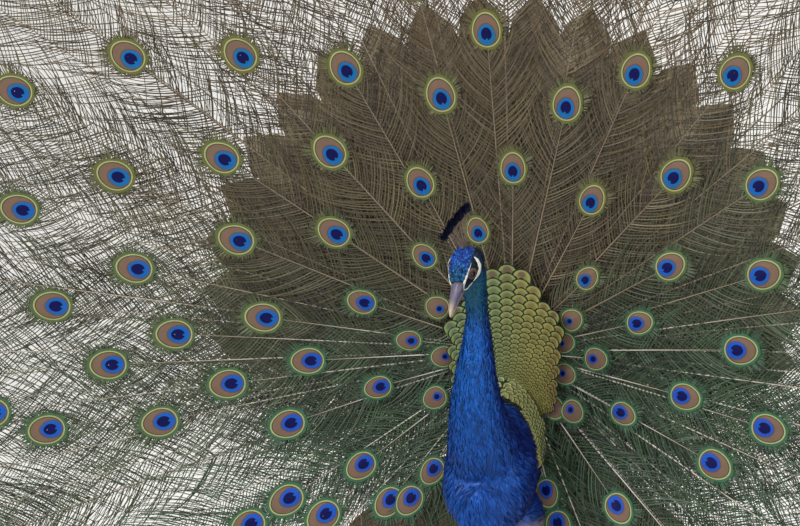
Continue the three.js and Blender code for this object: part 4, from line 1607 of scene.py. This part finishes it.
def add_barbs(coat, feather, look, rng, strip, strips):
    """Loose curved barbs on both sides of a feather's shaft."""
    start = 40.0
    end = feather.radius - (0.3 * feather.size if feather.has_eye else 0)
    number_of = max(6, int((end - start) / (look.barb_step / MM)))
    steps = np.linspace(0, 1, 8)
    facing = np.array((0.0, -1.0, 0.12))
    every = np.linspace(start, end, number_of)
    for side in (1, -1):
        # Long barbs stand close together near the tip and thin out towards the root.
        root = every[rng.random(len(every)) > 0.7 * smooth(end - every, 210, 300)]
        number_of = len(root)
        root = root + rng.uniform(-0.6, 0.6, number_of)
        clump = sum(np.sin(root / rng.uniform(4, 18) + rng.uniform(0, 6)) for _ in range(3)) / 3
        ahead = end - root
        long = (look.barb_length / MM) * (0.3 + 0.7 * smooth(ahead, 0, 80))
        long = long * (1 - 0.3 * smooth(ahead, 260, 600))
        long = np.minimum(long, 0.7 * root) * (1 + 0.06 * clump) * rng.uniform(0.9, 1.06, number_of)
        if not feather.has_eye:
            long = np.where(ahead < 90, 34 + 0.22 * ahead, long)
        first = np.radians(56 - 16 * smooth(ahead, 100, 0)) + 0.07 * clump + rng.normal(0, 0.02, number_of)
        bend = np.radians(-34) + 0.1 * np.roll(clump, 9) + rng.normal(0, 0.04, number_of)
        turn = first[:, None] + bend[:, None] * steps
        move = long[:, None] / (len(steps) - 1)
        start_zero = np.zeros((number_of, 1))
        aside = np.concatenate([start_zero, np.cumsum(np.sin(turn[:, 1:]) * move, 1)], 1)
        on = np.concatenate([start_zero, np.cumsum(np.cos(turn[:, 1:]) * move, 1)], 1)
        far = root[:, None] + on
        angle = feather.angle + side * aside / np.maximum(far, 40)
        wave = (1.2 * clump + rng.normal(0, 0.8, number_of))[:, None] * steps**2 + 4.0 * steps**2
        path = dish(far, angle, feather.back + wave)
        way = unit(np.gradient(path, axis=1))
        twist = rng.normal(0, 0.4, number_of)[:, None, None]
        across = unit(unit(np.cross(way, facing)) + facing * twist)
        taper = np.interp(steps, (0, 0.3, 0.85, 1), (1.0, 1.0, 0.6, 0.2))
        thick = look.barb_width * rng.uniform(0.8, 1.2, number_of)[:, None] * taper
        strips_made = ribbons(path, across, thick)
        low = (root / 1150)[:, None, None, None]
        u = (strip + 0.5 + side * (0.02 + 0.44 * steps[None, :, None, None])) / strips
        v = low + np.array([0.0, 0.0022])[None, None, :, None]
        bake = np.concatenate(np.broadcast_arrays(u, v), -1)
        nearness = (1 - smooth(ahead, 4, 30)) * (0.8 if feather.has_eye else 0.35)
        green = np.clip(feather.green + 0.35 * nearness + 0.1 * clump + rng.normal(0, 0.04, number_of), 0, 1)
        bright = np.clip(feather.bright + 0.25 * clump + rng.normal(0, 0.2, number_of), 0, 1)
        shade = np.empty((number_of, len(steps), 2, 4))
        shade[..., 0] = green[:, None, None]
        shade[..., 1] = bright[:, None, None]
        shade[..., 2] = steps[None, :, None]
        shade[..., 3] = (nearness[:, None] * (1 - 0.6 * steps))[..., None]
        coat.grid(strips_made, bake, np.zeros(2), shade)


def add_fringe(coat, feather, rng, strip, strips):
    """Green and gold barbs that ray out from the rim of the eyespot."""
    number_of = 72
    turn = np.linspace(-2.85, 2.85, number_of) + rng.normal(0, 0.02, number_of)
    half = feather.size / 2
    shoulder = np.exp(-(((np.abs(turn) - 0.9) / 0.45) ** 2))
    long = feather.size * (0.2 + 0.28 * shoulder + 0.14 * np.exp(-((turn / 0.4) ** 2)))
    long *= rng.uniform(0.8, 1.12, number_of)
    steps = np.linspace(0, 1, 4)
    lean = turn * 0.86
    start_x, start_y = half * 0.95 * np.sin(turn) * feather.narrow, half * np.cos(turn)
    aside = start_x[:, None] + np.sin(lean)[:, None] * long[:, None] * steps
    on = start_y[:, None] + np.cos(lean)[:, None] * long[:, None] * steps
    far = feather.radius + on
    wave = rng.normal(0, 0.8, number_of)[:, None] * steps
    path = dish(far, feather.angle + aside / np.maximum(far, 40), feather.back - 0.3 + wave)
    way = unit(np.gradient(path, axis=1))
    facing = np.array((0.0, -1.0, 0.12))
    across = unit(np.cross(way, facing) + facing * rng.normal(0, 0.3, number_of)[:, None, None])
    wide = 0.0015 * (feather.size / 41) * np.array([1.4, 1.3, 1.0, 0.3]) * np.ones((number_of, 1))
    low = (feather.radius / 1150) + 0.06 * (turn / 6)[:, None, None, None]
    u = (strip + 0.5 + 0.4 * np.sin(turn)[:, None, None, None] * steps[None, :, None, None]) / strips
    v = low + np.array([0.0, 0.0022])[None, None, :, None]
    bake = np.concatenate(np.broadcast_arrays(u, v), -1)
    shade = np.empty((number_of, 4, 2, 4))
    shade[..., 0] = feather.green
    shade[..., 1] = np.clip(0.4 + rng.normal(0, 0.12, number_of), 0, 1)[:, None, None]
    shade[..., 2] = steps[None, :, None]
    shade[..., 3] = (rng.uniform(0.4, 0.9, number_of)[:, None] * (1 - 0.75 * steps))[..., None]
    coat.grid(ribbons(path, across, wide), bake, np.zeros(2), shade)


def add_eye_disc(coat, feather, rng, cell, cells):
    """The closed, slightly domed vane that carries the eyespot."""
    spokes, rings = 28, 5
    turn = np.linspace(-np.pi, np.pi, spokes + 1)
    reach = np.array([0.02, 0.4, 0.75, 1.0, 1.0])
    ragged = 1.2 + 0.04 * np.sin(turn * 9 + rng.uniform(0, 6)) + rng.normal(0, 0.015, spokes + 1)
    ragged[-1] = ragged[0]
    scale = np.broadcast_to(reach[:, None], (rings, spokes + 1)).copy()
    scale[-1] = ragged
    half = feather.size / 2
    x = scale * np.sin(turn) * half * feather.narrow
    egg = 1 + 0.06 * np.cos(turn)
    y = scale * np.cos(turn) * half * egg
    far = feather.radius + y
    dome = 1.6 + 1.4 * (1 - np.clip(scale, 0, 1) ** 2)
    path = dish(far, feather.angle + x / np.maximum(far, 40), feather.back - dome)
    local = np.stack([scale * np.sin(turn), scale * np.cos(turn)], -1)
    vane = 0.5 + local / EYE_SPAN
    row_index, column = divmod(cell, cells)
    bake = (np.array([column, row_index]) + 0.5 + local * 0.36) / cells
    small = float(1 - smooth(feather.radius, 88, 148))
    shade = np.broadcast_to((feather.green, feather.bright, 0.5, small), (rings, spokes + 1, 4))
    coat.grid(path[None], bake[None], vane[None], shade[None])


def add_shaft(coat, feather, strip, strips):
    """A tapering four-sided shaft from the fan's root into the eyespot."""
    end = feather.radius - (0.12 * feather.size if feather.has_eye else 0)
    steps = np.linspace(0, 1, 15)
    far = 20 + (end - 20) * steps
    path = dish(far, feather.angle + 0 * far, feather.back - 0.6)
    way = unit(np.gradient(path, axis=0))
    facing = np.array((0.0, -1.0, 0.12))
    across = unit(np.cross(way, facing))
    width = 0.0022 - 0.0015 * steps
    turns = np.linspace(0, 2 * np.pi, 5)
    ring = across[:, None] * np.cos(turns)[None, :, None] + facing * np.sin(turns)[None, :, None]
    points = path[:, None] + ring * (width / 2)[:, None, None]
    u = (strip + 0.2 + 0.6 * turns / (2 * np.pi)) / strips
    bake = np.stack(np.meshgrid(u, 0.02 + 0.96 * steps), -1)
    shade = np.empty((15, 5, 4))
    shade[..., :3] = 0.5
    high = 0.75 * float(smooth(math.cos(feather.angle), -0.1, 0.5))
    shade[..., 3] = (0.12 + high + (0.75 - high) * smooth(steps, 0.4, 1.0))[:, None]
    coat.grid(points[None], bake[None], np.zeros(2), shade[None])


class PEACOCK_OT_train(bpy.types.Operator):
    """The raised fan: shafts, loose barbs and eyespots, row behind row"""

    bl_idname = "peacock.train"
    bl_label = "Train"

    def execute(self, context):
        look = context.scene.peacock_train
        feathers = plan_train(look)
        load = [min(f.radius, 300) + 0.35 * max(f.radius - 300, 0) + 90 * f.has_eye for f in feathers]
        parts = 5
        share = np.cumsum(load) / sum(load)
        batches = [
            [f for f, s in zip(feathers, share) if i / parts < s <= (i + 1) / parts] for i in range(parts)
        ]
        barb_look = kept("Train barbs", barb_material)
        for i, batch in enumerate(batches):
            rng = RNG(70 + i)
            coat = Coat()
            for strip, feather in enumerate(batch):
                add_barbs(coat, feather, look, rng, strip, len(batch))
                if feather.has_eye:
                    add_fringe(coat, feather, rng, strip, len(batch))
            name = "train_barbs_%d" % (i + 1)
            finish_piece(name, coat.mesh(name), barb_look, slot="train")
        shafts = Coat()
        for strip, feather in enumerate(feathers):
            add_shaft(shafts, feather, strip, len(feathers))
        finish_piece(
            "train_shafts", shafts.mesh("train_shafts"), kept("Feather shaft", shaft_material), slot="train"
        )
        eyes = Coat()
        rng = RNG(80)
        with_eye = [f for f in feathers if f.has_eye]
        cells = int(math.ceil(math.sqrt(len(with_eye))))
        for cell, feather in enumerate(with_eye):
            add_eye_disc(eyes, feather, rng, cell, cells)
        finish_piece(
            "train_eyes", eyes.mesh("train_eyes"), kept("Train eyespot", eyespot_material),
            replaces=TRAIN_NODES, slot="train",
        )
        return {"FINISHED"}


# ---------- quill feathers of tail and wings ----------
def add_quill(
    coat, root, heading, facing, reach, half_width, tone, barring, cell, cells,
    *, tip=0.16, bow=0.03, rows=14, columns=5,
):
    """One closed vane from its root, with a rounded tip and a low roof shape over its shaft."""
    heading, facing = unit(np.array(heading)), np.array(facing, dtype=float)
    facing = unit(facing - heading * (facing @ heading))
    across = np.cross(heading, facing)
    v = np.linspace(0, 1, rows)[:, None]
    u = np.linspace(-1, 1, columns)[None, :]
    open_up = smooth(v, 0.0, 0.14) * 0.9 + 0.1
    close = np.sqrt(np.clip(1 - np.clip((v - (1 - tip)) / tip, 0, 1) ** 2, 0.0, 1))
    outline = open_up * np.maximum(close, 0.04)
    x = u * outline * half_width
    y = v * reach
    z = -bow * reach * (2 * v - 1) ** 2 - 0.18 * np.abs(u) * half_width * outline
    points = (
        np.array(root)
        + heading * y[..., None]
        + across * x[..., None]
        + facing * np.broadcast_to(z, x.shape)[..., None]
    )
    row_index, column = divmod(cell, cells)
    local = np.stack([np.broadcast_to((u + 1) / 2, x.shape), np.broadcast_to(v, x.shape)], -1)
    bake = (np.array([column, row_index]) + 0.04 + 0.92 * local) / cells
    vane = np.stack([0.5 + 0.5 * u * outline, np.broadcast_to(v, x.shape)], -1)
    shade = np.broadcast_to((*tone[:3], barring), (rows, columns, 4))
    coat.grid(points[None], bake[None], vane[None], shade[None])


class PEACOCK_OT_tail(bpy.types.Operator):
    """Twenty stiff tail feathers behind the train, which hold it up"""

    bl_idname = "peacock.tail"
    bl_label = "Tail feathers"

    def execute(self, context):
        rng = RNG(91)
        coat = Coat()
        feathers = 20
        for i in range(feathers):
            share = 2 * i / (feathers - 1) - 1
            angle = math.radians(88 * share)
            reach = 0.425 * (1 - 0.18 * share * share) - 0.03
            start = dish(np.array(34.0), np.array(angle), 24 + 1.0 * (i % 2))
            end = dish(np.array(34.0 + reach / MM), np.array(angle), 24 + 1.0 * (i % 2))
            # Painted light: the pale cream is lighter than the tail's own brown-grey, to make up for the
            # train's shade on it, so that the gaps in the fan read bright.
            tone = np.array(srgb("c9bb9c")) * rng.uniform(0.85, 1.15)
            add_quill(
                coat, start, end - start, (0, -1, 0.1), float(np.linalg.norm(end - start)), 0.034, tone, 0.0,
                i, 5, tip=0.2, bow=-0.012,
            )
        finish_piece(
            "tail_feathers", coat.mesh("tail_feathers"), kept("Quill feathers", quill_material),
            replaces=("tail_left", "tail_right"), slot="tail",
        )
        return {"FINISHED"}


class PEACOCK_OT_wings(bpy.types.Operator):
    """Lowered wings: barred coverts over the arm and spread chestnut flight feathers"""

    bl_idname = "peacock.wings"
    bl_label = "Wings"

    def execute(self, context):
        rng = RNG(95)
        coat = Coat()
        cells = 16
        cell = 0
        for side in (1, -1):
            wrist = body_point(side * 64, 142, 338)
            for i in range(10):
                share = i / 9
                angle = math.radians(7 + 46 * share)
                reach = 0.262 * (1 - 0.2 * share * share)
                heading = Vector((side * math.sin(angle), 0.12, -math.cos(angle)))
                root = wrist + Vector((0, (20 - 12 * share) * MM, 0.01 - 0.02 * share))
                tone = np.array(srgb("8a4f2a")) * rng.uniform(0.85, 1.15)
                add_quill(
                    coat, root, heading, (0, 1, 0.1), reach, 0.021, tone, 0.0, cell, cells,
                    tip=0.22, bow=0.02,
                )
                cell += 1
            rows = 7
            for row in range(rows):
                per_row = 9
                for k in range(per_row):
                    share = k / (per_row - 1)
                    lane = (k + 0.5 * (row % 2)) / (per_row - 0.5)
                    y = 86 + 104 * lane
                    z = 412 - 14 * row - 32 * lane + 20 * (lane - 0.5) ** 2
                    x = 60 + 10 * math.sin(math.pi * (0.1 + 0.8 * lane)) - 0.6 * row
                    root = body_point(side * x, y, z)
                    heading = Vector((side * 0.05, 0.62, -0.78))
                    buff = srgb("b7a78a") if row < 5 else srgb("8a5a36")
                    tone = np.array(buff) * rng.uniform(0.8, 1.15)
                    add_quill(
                        coat, root, heading, (side, 0.1, 0.25), 0.044 + 0.004 * row, 0.013, tone,
                        0.9 if row < 5 else 0.2, cell, cells, tip=0.4, bow=0.04, rows=9, columns=5,
                    )
                    cell += 1
        finish_piece(
            "wing_feathers", coat.mesh("wing_feathers"), kept("Quill feathers", quill_material),
            replaces=("primaries_left", "primaries_right"), slot="wing",
        )
        self.arms(context)
        return {"FINISHED"}

    def arms(self, context):
        bm = bmesh.new()
        for side in (1, -1):
            stations = [
                (50 * side, 86, 402, 4, 15),
                (57 * side, 106, 392, 7, 40),
                (61 * side, 142, 372, 7.5, 48),
                (57 * side, 182, 362, 7, 44),
                (50 * side, 222, 362, 3.5, 24),
            ]
            loft(
                bm, stations, around=20, along=24, caps=(0.15, 0.2), side=(1, 0.1 * side, 0.15 * side),
                place=body_point,
            )
        mesh = mesh_from(bm, "wing_arms")
        shades = np.tile((*srgb("8f7f64")[:3], 1.0), (len(mesh.vertices), 1))
        add_attribute(mesh, "shade", shades)
        finish_piece(
            "wing_arms", mesh, kept("Soft down", fluff_material),
            replaces=("wing_left", "wing_right"), slot="wing",
        )


# ---------- legs ----------
LEG_ASIDE = 47
HEEL = (52, 158)  # behind and above the foot
FOOT_HEIGHT = 15
STANCE = {1: 2, -1: 36}
TOES = (("inner", -34, 46, 5.0), ("middle", -2, 64, 5.6), ("outer", 32, 50, 5.0), ("hind", 166, 26, 4.0))
CLAW_LENGTH = 13


def leg_places(side):
    back = STANCE[side]
    foot = np.array((LEG_ASIDE * side * 1.08, back, FOOT_HEIGHT), dtype=float)
    heel = np.array((LEG_ASIDE * side * 1.04, back + HEEL[0], HEEL[1]), dtype=float)
    return foot, heel


def toe_frame(side, heading):
    foot, _ = leg_places(side)
    turn = math.radians(heading)
    ahead = np.array((math.sin(turn) * side, -math.cos(turn), 0))
    start = 7.0 if heading > 90 else 8.5

    def at(distance, height, wide, high):
        x, y = foot[:2] + ahead[:2] * (start + distance)
        return (x, y, height, wide, high)

    return at, (-ahead[1], ahead[0], 0)


def ringed(rings, depth, from_top=0.25):
    """Overlapping scutes: the section swells and drops back once per ring."""

    def shape(t, angle, x, z):
        saw = (t * rings) % 1.0
        front = 0.5 + 0.5 * math.sin(angle)
        swell = 1 + depth * (saw**2) * (from_top + (1 - from_top) * front)
        return x * swell, z * swell

    return shape


def on_floor(x, y, z):
    return body_point(x, y, max(z, 0.0))


class PEACOCK_OT_legs(bpy.types.Operator):
    """Scaly shanks and toes with plates down the front, and horn claws and spurs"""

    bl_idname = "peacock.legs"
    bl_label = "Legs and claws"

    def execute(self, context):
        skin = kept("Scaly leg skin", leg_material)
        horn = kept("Claw horn", claw_material)
        for name, side in (("left", 1), ("right", -1)):
            foot, heel = leg_places(side)
            between = (foot + heel) / 2
            bm = bmesh.new()
            shank = [
                (heel[0], heel[1] + 1, heel[2] + 12, 6.0, 6.6),
                (heel[0], heel[1], heel[2] - 2, 6.6, 7.6),
                (*between, 4.8, 5.4),
                (foot[0], foot[1] + 5, foot[2] + 9, 5.2, 5.8),
                (foot[0], foot[1], foot[2] - 6, 6.6, 6.8),
            ]
            loft(bm, shank, around=20, along=150, caps=(0.05, 0.06), place=on_floor, shape=ringed(26, 0.09))
            pad = [
                (foot[0], foot[1] + 10, 6.5, 6, 5),
                (foot[0], foot[1] + 4, 6.5, 9.5, 6.3),
                (foot[0], foot[1] - 5, 6.5, 9.5, 6.3),
                (foot[0], foot[1] - 11, 6.0, 6, 5),
            ]
            loft(bm, pad, around=20, along=16, caps=(0.3, 0.3), place=on_floor)
            for _, heading, reach, thick in TOES:
                at, across = toe_frame(side, heading)
                rise = 7 if heading > 90 else 9
                stations = [
                    at(-4, rise, thick * 0.8, thick * 0.8),
                    at(reach * 0.25, thick * 0.86, thick * 0.95, thick * 0.92),
                    at(reach * 0.5, thick * 0.72, thick * 0.8, thick * 0.78),
                    at(reach * 0.75, thick * 0.72, thick * 0.8, thick * 0.78),
                    at(reach, thick * 0.55, thick * 0.6, thick * 0.6),
                ]
                rings = int(reach / 3.4)
                loft(
                    bm, stations, around=16, along=rings * 6, caps=(0.08, 0.1), side=across, place=on_floor,
                    shape=ringed(rings, 0.12, 0.4),
                )
            piece_from(
                bm, "leg_skin_" + name, skin, replaces=("shank_" + name, "foot_" + name), slot="leg"
            )
            self.claws(name, side, horn)
        return {"FINISHED"}

    def claws(self, name, side, horn):
        foot, heel = leg_places(side)
        bm = bmesh.new()
        along = []
        for _, heading, reach, thick in TOES:
            at, across = toe_frame(side, heading)
            start = reach - 2
            stations = [
                at(start, thick * 0.62, thick * 0.46, thick * 0.48),
                at(start + 5, thick * 0.72, thick * 0.4, thick * 0.44),
                at(start + 11, thick * 0.52, thick * 0.24, thick * 0.28),
                at(reach + CLAW_LENGTH, 1.3, 0.6, 0.6),
            ]
            loft(bm, stations, around=14, along=20, caps=(0.06, 0.15), side=across, place=on_floor)
            along += [i / 280 for i in range(len(bm.verts) - len(along))]
        root = foot + (heel - foot) * 0.36
        inward = -side
        spur = [
            (root[0] + inward * 2, root[1] + 3, root[2], 3.2, 3.2),
            (root[0] + inward * 5, root[1] + 13, root[2] + 1, 2.5, 2.5),
            (root[0] + inward * 7, root[1] + 20, root[2] + 4, 1.4, 1.4),
            (root[0] + inward * 8, root[1] + 24.5, root[2] + 8, 0.5, 0.5),
        ]
        loft(bm, spur, around=14, along=20, caps=(0.08, 0.15), place=body_point)
        along += [i / 280 for i in range(len(bm.verts) - len(along))]
        nodes = ["claw_%s_%s" % (t[0], name) for t in TOES] + ["spur_" + name]
        piece = piece_from(bm, "claws_" + name, horn, replaces=tuple(nodes), slot="claw")
        add_attribute(piece.data, "along", along)


# ---------- stage ----------
class PEACOCK_OT_stage(bpy.types.Operator):
    """Pale floor and backdrop, soft studio light, and the camera"""

    bl_idname = "peacock.stage"
    bl_label = "Stage"

    def execute(self, context):
        look = context.scene.peacock_stage
        self.backdrop()
        self.lights(context)
        self.camera(context, look)
        return {"FINISHED"}

    def backdrop(self):
        bm = bmesh.new()
        made = bmesh.ops.create_grid(bm, x_segments=8, y_segments=60, size=1)
        deep, wide, bend, wall, rise, below = 7.0, 9.0, 1.6, 2.2, 4.5, -0.0005
        for vert in made["verts"]:
            s = (vert.co.y + 1) / 2
            x = vert.co.x * wide
            if s < 0.55:
                vert.co = (x, -deep + (deep + wall) * s / 0.55, below)
            elif s < 0.8:
                turn = (s - 0.55) / 0.25 * math.pi / 2
                vert.co = (x, wall + bend * math.sin(turn), bend * (1 - math.cos(turn)) + below)
            else:
                vert.co = (x, wall + bend, bend + (s - 0.8) / 0.2 * rise)
        bm.normal_update()
        mesh = mesh_from(bm, "stage_floor")
        mesh.shade_smooth()
        floor = bpy.data.objects.new("stage_floor", mesh)
        mesh.materials.append(kept("Plain floor", stage_material))
        bpy.context.scene.collection.objects.link(floor)

    def lights(self, context):
        target = Vector((0, 0, 0.6))
        for name, place, size, power, tint in (
            ("key", (-2.6, -3.6, 3.4), 2.6, 190, (1.0, 0.97, 0.93)),
            ("fill", (3.4, -3.0, 1.8), 3.0, 70, (0.93, 0.96, 1.0)),
            ("top", (0.2, 0.4, 4.4), 3.0, 90, (1.0, 1.0, 1.0)),
            ("back", (1.6, 2.0, 2.8), 2.0, 60, (1.0, 0.98, 0.95)),
        ):
            light = bpy.data.lights.new(name, "AREA")
            light.shape = "DISK"
            light.size = size
            light.energy = power
            light.color = tint
            lamp = bpy.data.objects.new(name, light)
            lamp.location = place
            lamp.rotation_euler = (Vector(place) - target).to_track_quat("Z", "Y").to_euler()
            context.scene.collection.objects.link(lamp)
        world = bpy.data.worlds.new("Soft daylight")
        world.use_nodes = True
        world.node_tree.nodes["Background"].inputs["Color"].default_value = (0.86, 0.9, 1.0, 1)
        world.node_tree.nodes["Background"].inputs["Strength"].default_value = 0.55
        context.scene.world = world
        context.scene.view_settings.view_transform = "Standard"

    def camera(self, context, look):
        a, e = look.azimuth, look.elevation
        right = Vector((math.cos(a), math.sin(a), 0))
        back = Vector((math.sin(a) * math.cos(e), -math.cos(a) * math.cos(e), math.sin(e)))
        up = back.cross(right)
        fan_pixel = (512, 350)
        off_x = (PHOTO[0] / 2 - fan_pixel[0]) * look.scale
        off_y = (fan_pixel[1] - PHOTO[1] / 2) * look.scale
        target = FAN + right * off_x + up * off_y
        data = bpy.data.cameras.new("camera")
        camera = bpy.data.objects.new("camera", data)
        camera.location = target + back * look.distance
        camera.rotation_euler = Matrix((right, up, back)).transposed().to_euler()
        data.sensor_width = 36
        data.lens = 36 * look.distance / (PHOTO[0] * look.scale)
        data.clip_end = 100
        context.scene.collection.objects.link(camera)
        context.scene.camera = camera


class PEACOCK_PT_panel(bpy.types.Panel):
    """Lists the operators that build the bird"""

    bl_idname = "PEACOCK_PT_panel"
    bl_label = "Peacock"
    bl_space_type = "VIEW_3D"
    bl_region_type = "UI"
    bl_category = "Peacock"

    def draw(self, context):
        for operator in OPERATORS:
            self.layout.operator(operator.bl_idname)


SETTINGS = {
    "peacock_body": PeacockBody,
    "peacock_train": PeacockTrain,
    "peacock_stage": PeacockStage,
}
OPERATORS = (
    PEACOCK_OT_stage,
    PEACOCK_OT_skin,
    PEACOCK_OT_eyes,
    PEACOCK_OT_face,
    PEACOCK_OT_bill,
    PEACOCK_OT_head_coat,
    PEACOCK_OT_crest,
    PEACOCK_OT_body_coat,
    PEACOCK_OT_down,
    PEACOCK_OT_back_scales,
    PEACOCK_OT_train,
    PEACOCK_OT_tail,
    PEACOCK_OT_wings,
    PEACOCK_OT_legs,
)


def register():
    for made in (*SETTINGS.values(), *OPERATORS, PEACOCK_PT_panel):
        bpy.utils.register_class(made)
    for name, settings in SETTINGS.items():
        setattr(bpy.types.Scene, name, bpy.props.PointerProperty(type=settings))


def unregister():
    for name in SETTINGS:
        delattr(bpy.types.Scene, name)
    for made in reversed((*SETTINGS.values(), *OPERATORS, PEACOCK_PT_panel)):
        bpy.utils.unregister_class(made)


def main():
    register()
    for operator in OPERATORS:
        family, name = operator.bl_idname.split(".")
        getattr(getattr(bpy.ops, family), name)()


if __name__ == "__main__":
    main()
